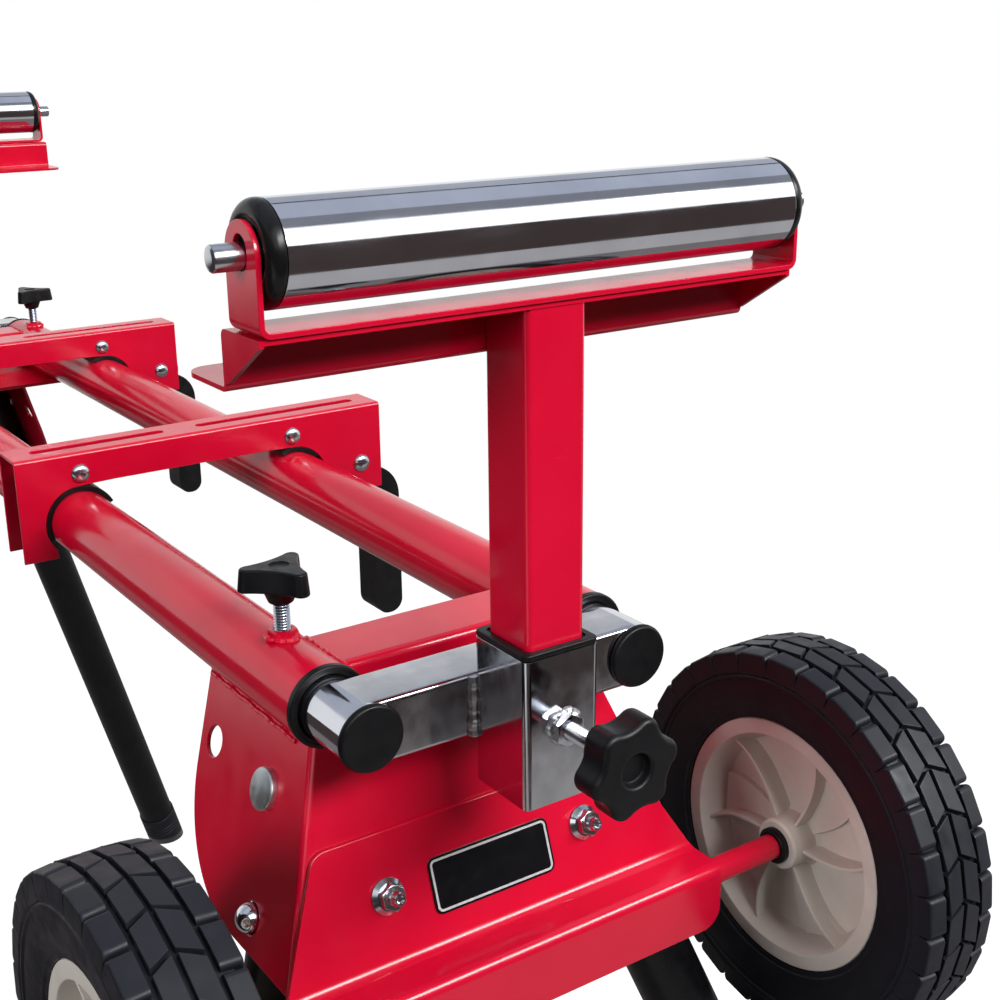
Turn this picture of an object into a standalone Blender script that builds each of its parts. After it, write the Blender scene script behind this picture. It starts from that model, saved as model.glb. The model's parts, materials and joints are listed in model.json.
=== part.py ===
"""Rolling miter saw stand: two rails on folding legs, roller arms that slide out, quick-clamp saw brackets.

Lengths are written in millimetres times MM, so the model is in metres, +Z up, standing on Z = 0 with the
wheel end towards +X. Each end of the stand is modelled in its own frame: X outwards from the face of the
rail bushings, Y across, Z up from the rail axis. The far end is the same frame turned half a turn.
"""
import math

import bmesh
import bpy
from mathutils import Matrix, Vector

MM = 0.001

# Fits and facets
GAP = 0.3 * MM
SINK = 1.0 * MM
ROUND = 12
SMALL_ROUND = 8
CORNER_STEPS = 2

# Rails, bushings and cross tubes
RAIL_LENGTH = 1140 * MM
RAIL_DIAMETER = 48.3 * MM
RAIL_WALL = 2 * MM
RAIL_SPACING = 184.4 * MM
RAIL_HEIGHT = 840 * MM
BUSHING_FLANGE = 5 * MM
BUSHING_LIP = 1.8 * MM
BUSHING_DEPTH = 40 * MM
CROSS_TUBE_WIDTH = 50 * MM
CROSS_TUBE_HEIGHT = 38.1 * MM
CROSS_TUBE_WALL = 2 * MM
CROSS_TUBE_CORNER = 5 * MM
CROSS_TUBE_SETBACK = 5.5 * MM

# Extension arms
ARM_TUBE_DIAMETER = 38.1 * MM
ARM_TUBE_WALL = 1.8 * MM
ARM_REACH = 44.3 * MM
ARM_MIDDLE_GAP = 90 * MM
ARM_END_SWELL = 25 * MM
BAR_SIDE = 38.1 * MM
BAR_WALL = 2 * MM
BAR_VENT = 12 * MM
CAP_FACE = 4 * MM
CAP_LIP = 0.75 * MM
CAP_PLUG = 15 * MM
SOCKET_WALL = 2.5 * MM
SOCKET_CORNER = 4 * MM
SOCKET_ABOVE = 42.9 * MM
SOCKET_BELOW = 45.3 * MM
GUIDE_WALL = 2.6 * MM
GUIDE_RIM = 3.7 * MM
GUIDE_DEPTH = 62 * MM

# Screws of the knobs
STUD_DIAMETER = 10 * MM
NUT_ACROSS = 17 * MM
NUT_HEIGHT = 8 * MM
STAR_KNOB_DIAMETER = 57 * MM
STAR_KNOB_DEPTH = 19 * MM
STAR_KNOB_LOBES = 6
STAR_KNOB_NECK = 12.5 * MM
STAR_KNOB_STANDOFF = 30 * MM
LOCK_KNOB_DIAMETER = 46 * MM
LOCK_KNOB_HEIGHT = 17 * MM
LOCK_KNOB_NECK = 5.5 * MM
LOCK_KNOB_STANDOFF = 17 * MM
LOCK_KNOB_LOBES = 3
LOCK_KNOB_SETBACK = 55.7 * MM
LOCK_BOSS_HEIGHT = 5 * MM

# Roller heads
POST_SIDE = 38.1 * MM
POST_WALL = 2 * MM
POST_CORNER = 4 * MM
POST_BELOW = 30 * MM
ROLLER_HEIGHT = 267.3 * MM
ROLLER_FORWARD = 5.8 * MM
ROLLER_DIAMETER = 50 * MM
ROLLER_WALL = 1.5 * MM
ROLLER_CLEARANCE = 7.6 * MM
ROLLER_END = 8 * MM
ROLLER_PLUG = 18 * MM
ROLLER_AXLE_DIAMETER = 12.7 * MM
ROLLER_AXLE_STICKOUT = 13.5 * MM
CRADLE_LENGTH = 326.8 * MM
CRADLE_WIDTH = 32 * MM
CRADLE_SHEET = 2.8 * MM
CRADLE_BEND = 3 * MM
AXLE_SLOT_LIFT = 3 * MM
STIFFENER_SHEET = 2.5 * MM
STIFFENER_DROP = 28 * MM
STIFFENER_SHELF = 49 * MM
STIFFENER_CORNER = 13 * MM
STIFFENER_BEND = 1.5 * MM
STIFFENER_FRONT_SETBACK = 2 * MM
STIFFENER_END_SETBACK = 3 * MM

# Leg brackets
BRACKET_SHEET = 3 * MM
BRACKET_BEND = 6 * MM
PANEL_SETBACK = 10.9 * MM
PANEL_SLOPE = math.radians(19.6)
PIVOT_SETBACK = 45 * MM
PIVOT_DROP = 64.4 * MM
PIVOT_HALF_WIDTH = 113.6 * MM
PLATE_RADIUS = 92 * MM
PLATE_TOP_REACH = 103 * MM
PLATE_ARC_START = math.radians(82)
WHEEL_END_SPLAY = math.radians(19.3)
FAR_END_SPLAY = math.radians(17.5)
FAR_PLATE_MARGIN = 10 * MM
FAR_PLATE_THICKNESS = 4 * MM
PIVOT_BOLT_DIAMETER = 12 * MM
PIVOT_HEAD_DIAMETER = 26 * MM
PIVOT_HEAD_HEIGHT = 6.5 * MM
PIVOT_NUT_DIAMETER = 19 * MM
PIVOT_NUT_HEIGHT = 4 * MM
PIVOT_CLEARANCE = 0.4 * MM

# Legs
LEG_DIAMETER = 48.3 * MM
LEG_WALL = 1.8 * MM
LEG_LEAN = math.radians(14)
LEG_FOLD = math.radians(104)
LEG_SIDE_GAP = 0.5 * MM
LEG_ABOVE_PIVOT = 20 * MM
LEG_NEST_GAP = 4.5 * MM
FOOT_WALL = 2.1 * MM
FOOT_LENGTH = 60 * MM
FOOT_SOLE = 18 * MM
BUTTON_RADIUS_FROM_PIVOT = 75 * MM
BUTTON_DIAMETER = 18 * MM
BUTTON_STICKOUT = 9 * MM
BUTTON_COLLAR = 2 * MM
BUTTON_COLLAR_DEPTH = 5 * MM
BUTTON_CLEARANCE = 1 * MM

# Wheel bracket, axle and wheels
WHEEL_BRACKET_SHEET = 3 * MM
WHEEL_BRACKET_BEND = 4 * MM
WHEEL_BRACKET_TOP = 80.3 * MM
WHEEL_BRACKET_TOP_HALF = 112.4 * MM
WHEEL_BRACKET_CORNER = 12 * MM
LEDGE_DROP = 153.4 * MM
LEDGE_HALF = 148 * MM
LIP_REACH = 67.6 * MM
LIP_HEIGHT = 44 * MM
LIP_CORNER = 14 * MM
SLEEVE_DIAMETER = 17 * MM
SLEEVE_OVERHANG = 56 * MM
AXLE_DIAMETER = 12.7 * MM
AXLE_COLLAR = 4 * MM
AXLE_COLLAR_DIAMETER = 30 * MM
AXLE_NUT_DIAMETER = 20 * MM
AXLE_NUT_HEIGHT = 12 * MM
TYRE_DIAMETER = 275 * MM
TYRE_WIDTH = 59.4 * MM
TREAD_WIDTH = 52 * MM
TREAD_CROWN = 2 * MM
TREAD_DEPTH = 4 * MM
TREAD_LUGS = 30
LUG_LENGTH = 15.5 * MM
RIM_DIAMETER = 175 * MM
RIM_WIDTH = 48.8 * MM
RIM_FLANGE = 7 * MM
RIM_STEP = 6.5 * MM
RIM_WALL = 6 * MM
BOSS_DIAMETER = 40 * MM
BOSS_LENGTH = 50 * MM
HUB_FACETS = 18
WEB_THICKNESS = 6 * MM
RIB_COUNT = 8
RIB_THICKNESS = 4 * MM
RIB_RIM_SETBACK = 12 * MM
RIB_SWEEP = math.radians(34)

# Saw brackets
SAW_BRACKET_SETBACK = 423 * MM
SAW_BRACKET_PITCH = 450 * MM
CHANNEL_WIDTH = 40 * MM
CHANNEL_SHEET = 2.5 * MM
CHANNEL_BEND = 3 * MM
CHANNEL_HEIGHT = 26 * MM
CHANNEL_SEAT_RISE = 0.8 * MM
CHANNEL_LEVER_END = 174.5 * MM
CHANNEL_JAW_REACH = 19 * MM
CHANNEL_LEVER_DROP = 20 * MM
CHANNEL_JAW_DROP = 26 * MM
PAD_THICKNESS = 4 * MM
SLOT_WIDTH = 9 * MM
SLOT_INNER = 14 * MM
SLOT_OUTER = 158 * MM
LEVER_PIVOT_OUT = 62.8 * MM
LEVER_PIVOT_UP = 3.9 * MM
LEVER_PIN_DIAMETER = 8 * MM
LEVER_PIN_HEAD = 13.5 * MM
LEVER_PIN_HEAD_HEIGHT = 4 * MM
LEVER_SIDE_GAP = 1 * MM
CAM_RADIUS = 30 * MM
LEVER_ARM_INNER = 13 * MM
LEVER_ARM_THICKNESS = 26 * MM
LEVER_ARM_LENGTH = 147 * MM
LEVER_SHOULDER = 30 * MM
LEVER_SHOULDER_DROP = 36 * MM
LEVER_TIP_RADIUS = 12 * MM


def around(radius, sides):
    """Corner radius of a polygon that clears a circle of this radius."""
    return radius / math.cos(math.pi / sides)


# Values that follow from the driving dimensions
RAIL_RADIUS = RAIL_DIAMETER / 2
RAIL_BORE = RAIL_RADIUS - RAIL_WALL
HALF_SPACING = RAIL_SPACING / 2
END_DISTANCE = RAIL_LENGTH / 2 + BUSHING_FLANGE
ARM_RADIUS = ARM_TUBE_DIAMETER / 2
ARM_TAIL = END_DISTANCE - ARM_MIDDLE_GAP / 2
STUD_RADIUS = STUD_DIAMETER / 2
STUD_HOLE = around(STUD_RADIUS + GAP, SMALL_ROUND)
GUIDE_INNER = POST_SIDE + 2 * GAP
GUIDE_OUTER = GUIDE_INNER + 2 * GUIDE_WALL
SOCKET_INNER = GUIDE_OUTER + 2 * GAP
SOCKET_SIDE = SOCKET_INNER + 2 * SOCKET_WALL
POST_X = ARM_REACH + SOCKET_SIDE / 2
ROLLER_RADIUS = ROLLER_DIAMETER / 2
CRADLE_BASE = ROLLER_HEIGHT - ROLLER_RADIUS - ROLLER_CLEARANCE - CRADLE_SHEET
STIFFENER_TOP = CRADLE_BASE - GAP
BRACKET_TOP = -RAIL_RADIUS - GAP
LEG_RADIUS = LEG_DIAMETER / 2
LEG_BORE = LEG_RADIUS - LEG_WALL
LEG_INSET = BRACKET_SHEET + LEG_SIDE_GAP + LEG_RADIUS
FOOT_RADIUS = LEG_RADIUS + GAP + FOOT_WALL
PIVOT_REACH = LEG_INSET + LEG_RADIUS + LEG_SIDE_GAP
SLEEVE_RADIUS = SLEEVE_DIAMETER / 2
AXLE_X = LIP_REACH - WHEEL_BRACKET_SHEET - GAP - SLEEVE_RADIUS
AXLE_Z = -LEDGE_DROP - WHEEL_BRACKET_SHEET - GAP - SLEEVE_RADIUS
SLEEVE_HALF = LEDGE_HALF + SLEEVE_OVERHANG
WHEEL_Y = SLEEVE_HALF + AXLE_COLLAR + 2 * GAP + BOSS_LENGTH / 2
RIM_RADIUS = RIM_DIAMETER / 2
SEAT_RADIUS = RIM_RADIUS - RIM_STEP
SADDLE_RADIUS = RAIL_RADIUS + PAD_THICKNESS + 2 * GAP
CHANNEL_WAIST = SADDLE_RADIUS + CHANNEL_SEAT_RISE
CHANNEL_TOP = CHANNEL_WAIST + CHANNEL_HEIGHT
LEVER_WIDTH = CHANNEL_WIDTH - 2 * (CHANNEL_SHEET + LEVER_SIDE_GAP)


# Meshes from outlines and profiles

def in_space(axis, u, v, along):
    """A point given across and along one of the three axes."""
    places = {"X": (along, u, v), "Y": (u, along, v), "Z": (u, v, along)}
    return Vector(places[axis])


def closed_outwards(bm):
    bmesh.ops.recalc_face_normals(bm, faces=bm.faces)
    return bm


def prism(outline, axis, low, high):
    """Extrude a closed outline along an axis: (y, z) along X, (x, z) along Y, (x, y) along Z."""
    bm = bmesh.new()
    lower = [bm.verts.new(in_space(axis, u, v, low)) for u, v in outline]
    upper = [bm.verts.new(in_space(axis, u, v, high)) for u, v in outline]
    bm.faces.new(lower)
    bm.faces.new(upper)
    for index in range(len(outline)):
        bm.faces.new((lower[index - 1], lower[index], upper[index], upper[index - 1]))
    return closed_outwards(bm)


def bridge(bm, first, second):
    """Join two rings of points, either of which may be a single point on the axis."""
    for step in range(max(len(first), len(second))):
        if len(first) == 1:
            corners = [first[0], second[step], second[step - 1]]
        elif len(second) == 1:
            corners = [first[step - 1], first[step], second[0]]
        else:
            corners = [first[step - 1], first[step], second[step], second[step - 1]]
        bm.faces.new(corners)


def turned(profile, axis, segments=ROUND, ring=False, lobes=0, reach=None):
    """Turn (along, radius, wave) points about an axis, with a corner at the top so that it seats at its full
    radius; ring closes the profile, reach shapes each point."""
    bm = bmesh.new()
    rings = []
    for row, point in enumerate(profile):
        along, radius = point[0], point[1]
        wave = point[2] if len(point) > 2 else 0.0
        steps = segments if radius > 0 else 1
        verts = []
        for step in range(steps):
            angle = math.pi / 2 + 2 * math.pi * step / segments
            size = radius + wave * math.cos(lobes * angle)
            if reach:
                size += reach(row, step)
            verts.append(bm.verts.new(in_space(axis, size * math.cos(angle), size * math.sin(angle), along)))
        rings.append(verts)
    for first, second in zip(rings, rings[1:]):
        bridge(bm, first, second)
    if ring:
        bridge(bm, rings[-1], rings[0])
    return closed_outwards(bm)


def tube(axis, low, high, outer, inner, segments=ROUND):
    return turned([(low, inner), (low, outer), (high, outer), (high, inner)], axis, segments, ring=True)


def rod(axis, low, high, radius, segments=SMALL_ROUND):
    return turned([(low, 0), (low, radius), (high, radius), (high, 0)], axis, segments)


def arc(centre, radius, start, end, steps, hollow=False):
    """Points of an arc; a hollow one is drawn outside its circle, so that a round piece fits in it."""
    points = []
    if hollow:
        radius = around(radius, 2 * math.pi * steps / abs(end - start))
    for step in range(steps + 1):
        angle = start + (end - start) * step / steps
        points.append((centre[0] + radius * math.cos(angle), centre[1] + radius * math.sin(angle)))
    return points


def rounded_rectangle(width, height, radius, centre=(0, 0), steps=CORNER_STEPS):
    points = []
    quarter = math.pi / 2
    for index, (side_u, side_v) in enumerate(((1, 1), (-1, 1), (-1, -1), (1, -1))):
        corner = (centre[0] + side_u * (width / 2 - radius), centre[1] + side_v * (height / 2 - radius))
        points += arc(corner, radius, index * quarter, (index + 1) * quarter, steps)
    return points


def rectangle(low_u, low_v, high_u, high_v):
    return [(low_u, low_v), (high_u, low_v), (high_u, high_v), (low_u, high_v)]


def bent_strip(points, thickness, bend, steps=CORNER_STEPS):
    """Outline of a bent sheet whose right-hand face runs through the points, thick to the left."""
    corners = [Vector(point) for point in points]
    right = [corners[0]]
    left = []
    heading = (corners[1] - corners[0]).normalized()
    left.append(corners[0] + thickness * heading.orthogonal())
    for before, corner, after in zip(corners, corners[1:], corners[2:]):
        arriving = (corner - before).normalized()
        leaving = (after - corner).normalized()
        turn = math.atan2(arriving.cross(leaving), arriving.dot(leaving))
        side = math.copysign(1, turn)
        right_radius = bend + thickness if turn > 0 else bend
        left_radius = bend if turn > 0 else bend + thickness
        tangent = corner - arriving * right_radius * math.tan(abs(turn) / 2)
        centre = tangent + arriving.orthogonal() * side * right_radius
        spoke = (tangent - centre).normalized()
        for step in range(steps + 1):
            turned_spoke = Matrix.Rotation(turn * step / steps, 2) @ spoke
            right.append(centre + right_radius * turned_spoke)
            left.append(centre + left_radius * turned_spoke)
    heading = (corners[-1] - corners[-2]).normalized()
    right.append(corners[-1])
    left.append(corners[-1] + thickness * heading.orthogonal())
    return [tuple(point) for point in right + left[::-1]]


def drill(point, direction, radius, segments=SMALL_ROUND):
    """A round bar along a direction, centred on a point, long enough to cut through one wall."""
    bm = bmesh.new()
    turn = Vector(direction).to_track_quat("Z", "Y").to_matrix().to_4x4()
    place = Matrix.Translation(point) @ turn
    bmesh.ops.create_cone(bm, cap_ends=True, segments=segments, radius1=radius, radius2=radius,
                          depth=4 * BRACKET_SHEET + 2 * radius, matrix=place)
    return bm


# Shapes joined, cut and thickened by modifiers

def scratch_object(bm):
    mesh = bpy.data.meshes.new("scratch")
    bm.to_mesh(mesh)
    bm.free()
    scratch = bpy.data.objects.new("scratch", mesh)
    bpy.context.scene.collection.objects.link(scratch)
    return scratch


def evaluated(scratch, tools=()):
    """The mesh that an object's modifiers give, with the object and its tools removed."""
    bpy.context.view_layer.update()
    result_mesh = bpy.data.meshes.new_from_object(scratch.evaluated_get(bpy.context.evaluated_depsgraph_get()))
    result = bmesh.new()
    result.from_mesh(result_mesh)
    bpy.data.meshes.remove(result_mesh)
    for used in (scratch, *tools):
        used_mesh = used.data
        bpy.data.objects.remove(used)
        bpy.data.meshes.remove(used_mesh)
    return result


def combined(body, tools, operation):
    scratch = scratch_object(body)
    tool_objects = [scratch_object(tool) for tool in tools]
    for tool_object in tool_objects:
        modifier = scratch.modifiers.new("combine", "BOOLEAN")
        modifier.operation = operation
        modifier.object = tool_object
    return evaluated(scratch, tool_objects)


def joined(body, *extras):
    return combined(body, extras, "UNION")


def cut(body, *cutters):
    return combined(body, cutters, "DIFFERENCE")


def trimmed(body, keeper):
    return combined(body, [keeper], "INTERSECT")


def thickened(bm, thickness):
    """Give an open sheet a thickness behind its outward faces."""
    scratch = scratch_object(bm)
    modifier = scratch.modifiers.new("sheet", "SOLIDIFY")
    modifier.thickness = thickness
    modifier.offset = -1
    modifier.use_even_offset = True
    return evaluated(scratch)


# Objects and finishes

def finish(name, colour, roughness, metallic):
    material = bpy.data.materials.new(name)
    material.use_nodes = True
    shader = material.node_tree.nodes["Principled BSDF"]
    shader.inputs["Base Color"].default_value = (*colour, 1)
    shader.inputs["Roughness"].default_value = roughness
    shader.inputs["Metallic"].default_value = metallic
    return material


def shape(name, bm, material):
    """A finished mesh: smooth on round faces, sharp at its edges."""
    mesh = bpy.data.meshes.new(name)
    bm.to_mesh(mesh)
    bm.free()
    mesh.shade_smooth()
    mesh.set_sharp_from_angle(angle=math.radians(35))
    mesh.materials.append(material)
    return mesh


def place(name, mesh, parent):
    node = bpy.data.objects.new(name, mesh)
    bpy.context.scene.collection.objects.link(node)
    node.parent = parent
    return node


def axis_frame(name, parent, matrix):
    """An empty that carries the pieces of one moving or fixed group."""
    empty = bpy.data.objects.new(name, None)
    bpy.context.scene.collection.objects.link(empty)
    empty.parent = parent
    empty.matrix_local = matrix
    return empty


# Frame of the stand

def rail_shape(red):
    """One rail with the threaded boss of its arm lock, modelled for the left rail."""
    boss_x = RAIL_LENGTH / 2 + BUSHING_FLANGE - LOCK_KNOB_SETBACK
    spot = Matrix.Translation((boss_x, 0, 0))
    boss_top = RAIL_RADIUS + LOCK_BOSS_HEIGHT
    boss = rod("Z", RAIL_BORE + SINK, boss_top, NUT_ACROSS / 2 + SINK, 6)
    hole = rod("Z", 0, boss_top + SINK, STUD_HOLE)
    boss.transform(spot)
    hole.transform(spot)
    body = joined(tube("X", -RAIL_LENGTH / 2, RAIL_LENGTH / 2, RAIL_RADIUS, RAIL_BORE), boss)
    return shape("rail", cut(body, hole), red)


def cross_tube_shape(red):
    """Tube between the rails, its ends coped to sit on them."""
    middle = -BUSHING_FLANGE - CROSS_TUBE_SETBACK - CROSS_TUBE_WIDTH / 2
    outer = rounded_rectangle(CROSS_TUBE_WIDTH, CROSS_TUBE_HEIGHT, CROSS_TUBE_CORNER, (middle, 0))
    inner = rounded_rectangle(CROSS_TUBE_WIDTH - 2 * CROSS_TUBE_WALL, CROSS_TUBE_HEIGHT - 2 * CROSS_TUBE_WALL,
                              CROSS_TUBE_CORNER - CROSS_TUBE_WALL, (middle, 0))
    body = cut(prism(outer, "Y", -HALF_SPACING, HALF_SPACING),
               prism(inner, "Y", -RAIL_SPACING, RAIL_SPACING))
    copes = []
    for side in (-1, 1):
        cope = rod("X", middle - CROSS_TUBE_WIDTH, middle + CROSS_TUBE_WIDTH, RAIL_RADIUS + GAP, ROUND)
        cope.transform(Matrix.Translation((0, side * HALF_SPACING, 0)))
        copes.append(cope)
    return shape("cross_tube", cut(body, *copes), red)


def bushing_shape(black):
    bore = ARM_RADIUS + GAP
    sleeve = RAIL_BORE - GAP
    rim = RAIL_RADIUS + BUSHING_LIP
    seat = -BUSHING_FLANGE + GAP
    profile = [(0, bore), (0, rim - BUSHING_LIP), (-BUSHING_LIP, rim), (seat, rim), (seat, sleeve),
               (-BUSHING_FLANGE - BUSHING_DEPTH, sleeve), (-BUSHING_FLANGE - BUSHING_DEPTH, bore)]
    return shape("bushing", turned(profile, "X", ring=True), black)


# Extension arms

def arm_shape(chrome):
    """Two tubes, the bar across their ends and the post socket, welded into one piece."""
    bore = ARM_RADIUS - ARM_TUBE_WALL
    swell = RAIL_BORE - GAP
    profile = [(-ARM_TAIL, bore), (-ARM_TAIL, swell), (-ARM_TAIL + ARM_END_SWELL, swell),
               (-ARM_TAIL + 2 * ARM_END_SWELL, ARM_RADIUS), (ARM_REACH, ARM_RADIUS), (ARM_REACH, bore)]
    tubes = []
    copes = []
    for side in (-1, 1):
        spot = Matrix.Translation((0, side * HALF_SPACING, 0))
        arm_tube = turned(profile, "X", ring=True)
        cope = rod("X", 0, 2 * ARM_REACH, ARM_RADIUS - ARM_TUBE_WALL / 2, ROUND)
        arm_tube.transform(spot)
        cope.transform(spot)
        tubes.append(arm_tube)
        copes.append(cope)
    half_bar = BAR_SIDE / 2
    bar = prism(rectangle(ARM_REACH - BAR_SIDE, -half_bar, ARM_REACH - SINK / 2, half_bar),
                "Y", -HALF_SPACING, HALF_SPACING)
    hollow = prism(rectangle(ARM_REACH - BAR_SIDE + BAR_WALL, BAR_WALL - half_bar, ARM_REACH - BAR_WALL,
                             half_bar - BAR_WALL), "Y", ARM_RADIUS - HALF_SPACING, HALF_SPACING - ARM_RADIUS)
    vent = rod("Y", -HALF_SPACING, HALF_SPACING, BAR_VENT / 2)
    vent.transform(Matrix.Translation((ARM_REACH - half_bar, 0, 0)))
    socket = prism(rounded_rectangle(SOCKET_SIDE + SINK, SOCKET_SIDE, SOCKET_CORNER, (POST_X - SINK / 2, 0)),
                   "Z", -SOCKET_BELOW, SOCKET_ABOVE)
    well = prism(rounded_rectangle(SOCKET_INNER, SOCKET_INNER, SOCKET_CORNER - SOCKET_WALL, (POST_X, 0)),
                 "Z", -2 * SOCKET_BELOW, 2 * SOCKET_ABOVE)
    front = POST_X + SOCKET_SIDE / 2
    nut = rod("X", front - SINK, front + NUT_HEIGHT, NUT_ACROSS / 2 / math.cos(math.pi / 6), 6)
    hole = rod("X", POST_X, front + NUT_HEIGHT + SINK, STUD_HOLE)
    head = cut(joined(cut(bar, *copes), socket, nut), hollow, well, hole)
    return shape("arm", cut(joined(tubes[0], tubes[1], head), vent), chrome)


def tube_cap_shape(black):
    plug = ARM_RADIUS - ARM_TUBE_WALL - GAP
    seat = ARM_REACH + GAP
    rim = ARM_RADIUS + CAP_LIP
    profile = [(ARM_REACH - CAP_PLUG, 0), (ARM_REACH - CAP_PLUG, plug), (seat, plug), (seat, rim),
               (ARM_REACH + CAP_FACE - CAP_LIP, rim), (ARM_REACH + CAP_FACE, rim - 2 * CAP_LIP),
               (ARM_REACH + CAP_FACE, 0)]
    return shape("tube_cap", turned(profile, "X"), black)


def post_guide_shape(black):
    """Plastic sleeve between the socket and the post, with a rim on top and a hole for the stud."""
    sleeve = prism(rounded_rectangle(GUIDE_OUTER, GUIDE_OUTER, GUIDE_WALL / 2), "Z",
                   SOCKET_ABOVE - GUIDE_DEPTH, SOCKET_ABOVE + SINK)
    rim = prism(rounded_rectangle(SOCKET_SIDE, SOCKET_SIDE, SOCKET_CORNER), "Z",
                SOCKET_ABOVE + GAP, SOCKET_ABOVE + GUIDE_RIM)
    well = prism(rounded_rectangle(GUIDE_INNER, GUIDE_INNER, POST_CORNER - GAP), "Z", -1, 1)
    hole = rod("X", 0, SOCKET_SIDE, STUD_HOLE)
    body = cut(joined(sleeve, rim), well, hole)
    body.transform(Matrix.Translation((POST_X, 0, 0)))
    return shape("post_guide", body, black)


def star_knob_shape(black):
    """Six-lobed knob on its stud, turned about X from the face of the post."""
    start = POST_SIDE / 2 + GAP
    back = SOCKET_SIDE / 2 + STAR_KNOB_STANDOFF
    lobe_back = back + STAR_KNOB_NECK
    front = lobe_back + STAR_KNOB_DEPTH
    wave = STAR_KNOB_DIAMETER * 0.045
    radius = STAR_KNOB_DIAMETER / 2 - wave
    edge = STAR_KNOB_DEPTH * 0.14
    neck = STUD_DIAMETER * 1.1
    dish = STUD_DIAMETER * 0.95
    profile = [(lobe_back, 0), (lobe_back, radius - 2 * edge, wave), (lobe_back + edge, radius, wave),
               (front - edge, radius, wave), (front, radius - 1.5 * edge, wave),
               (front, dish), (front - 2 * edge, 0)]
    grip = turned(profile, "X", 4 * STAR_KNOB_LOBES, lobes=STAR_KNOB_LOBES)
    stem = [(start, 0), (start, STUD_RADIUS), (back, STUD_RADIUS), (back, neck), (lobe_back + edge, neck),
            (lobe_back + edge, 0)]
    return shape("star_knob", joined(grip, turned(stem, "X", SMALL_ROUND)), black)


def lock_knob_shape(black):
    """Three-lobed knob on its stud, turned about Z from the arm tube's surface."""
    start = ARM_RADIUS + GAP
    back = RAIL_RADIUS + LOCK_BOSS_HEIGHT + LOCK_KNOB_STANDOFF
    lobe_back = back + LOCK_KNOB_NECK
    top = lobe_back + LOCK_KNOB_HEIGHT
    wave = LOCK_KNOB_DIAMETER * 0.12
    radius = LOCK_KNOB_DIAMETER / 2 - wave
    edge = LOCK_KNOB_HEIGHT * 0.12
    neck = STUD_DIAMETER * 0.85
    profile = [(lobe_back, 0), (lobe_back, radius - edge, wave), (lobe_back + edge, radius, wave),
               (top - edge, radius - edge, wave), (top, radius - 2 * edge, wave), (top, 0)]
    grip = turned(profile, "Z", 6 * LOCK_KNOB_LOBES, lobes=LOCK_KNOB_LOBES)
    stem = [(start, 0), (start, STUD_RADIUS), (back, STUD_RADIUS), (back, neck), (lobe_back + edge, neck),
            (lobe_back + edge, 0)]
    return shape("lock_knob", joined(grip, turned(stem, "Z", SMALL_ROUND)), black)


# Roller heads, modelled about the axis of the post

def post_shape(red):
    """Square post with the folded stiffener that carries the cradle welded on top."""
    outer = prism(rounded_rectangle(POST_SIDE, POST_SIDE, POST_CORNER), "Z", -POST_BELOW,
                  STIFFENER_TOP - STIFFENER_SHEET / 2)
    inner = prism(rounded_rectangle(POST_SIDE - 2 * POST_WALL, POST_SIDE - 2 * POST_WALL,
                                    POST_CORNER - POST_WALL), "Z", -1, STIFFENER_TOP - STIFFENER_SHEET)
    front = ROLLER_FORWARD + CRADLE_WIDTH / 2 - STIFFENER_FRONT_SETBACK
    wall = -POST_SIDE / 2 - STIFFENER_SHEET / 2
    shelf = STIFFENER_TOP - STIFFENER_DROP
    half = CRADLE_LENGTH / 2
    folds = [(front, STIFFENER_TOP), (wall, STIFFENER_TOP), (wall, shelf), (wall - STIFFENER_SHELF, shelf)]
    ends = {-1: -half, 1: half - STIFFENER_END_SETBACK}
    sheet = prism(bent_strip(folds, STIFFENER_SHEET, STIFFENER_BEND), "Y", ends[-1], ends[1])
    back = wall - STIFFENER_SHELF
    corners = []
    for side, end in ends.items():
        keep = (back + STIFFENER_CORNER, end - side * STIFFENER_CORNER)
        rim = arc(keep, STIFFENER_CORNER, math.pi, math.pi - side * math.pi / 2, 4)
        outside = (back - STIFFENER_CORNER, end + side * STIFFENER_CORNER)
        corners.append(prism(rim + [(keep[0], outside[1]), outside, (outside[0], keep[1])], "Z",
                             shelf - 2 * STIFFENER_SHEET, shelf + 2 * STIFFENER_SHEET))
    flap_outline = [(wall + SINK, STIFFENER_TOP - SINK), (front, STIFFENER_TOP - SINK),
                    (front, STIFFENER_TOP - STIFFENER_SHEET), (wall + SINK, shelf)]
    flaps = []
    for low in (ends[-1], ends[1] - STIFFENER_SHEET):
        flaps.append(prism(flap_outline, "Y", low, low + STIFFENER_SHEET))
    body = joined(cut(sheet, *corners), *flaps, outer)
    return shape("post", cut(body, inner), red)


def cradle_shape(red):
    """Bent strip whose two ears hold the roller axle in upright slots."""
    half = CRADLE_LENGTH / 2
    ear_radius = CRADLE_WIDTH / 2
    top = ROLLER_HEIGHT + ear_radius
    strip = bent_strip([(-half, top), (-half, CRADLE_BASE), (half, CRADLE_BASE), (half, top)],
                       CRADLE_SHEET, CRADLE_BEND)
    body = prism(strip, "X", ROLLER_FORWARD - ear_radius, ROLLER_FORWARD + ear_radius)
    centre = (ROLLER_FORWARD, ROLLER_HEIGHT)
    outline = arc(centre, ear_radius, 0, math.pi, 8)
    outline += [(ROLLER_FORWARD - ear_radius, 0), (ROLLER_FORWARD + ear_radius, 0)]
    slot_radius = ROLLER_AXLE_DIAMETER / 2 + GAP
    slot = arc((centre[0], centre[1] + AXLE_SLOT_LIFT), slot_radius, 0, math.pi, 4, hollow=True)
    slot += arc(centre, slot_radius, math.pi, 2 * math.pi, 4, hollow=True)
    body = trimmed(body, prism(outline, "Y", -CRADLE_LENGTH, CRADLE_LENGTH))
    return shape("cradle", cut(body, prism(slot, "Y", -CRADLE_LENGTH, CRADLE_LENGTH)), red)


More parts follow.
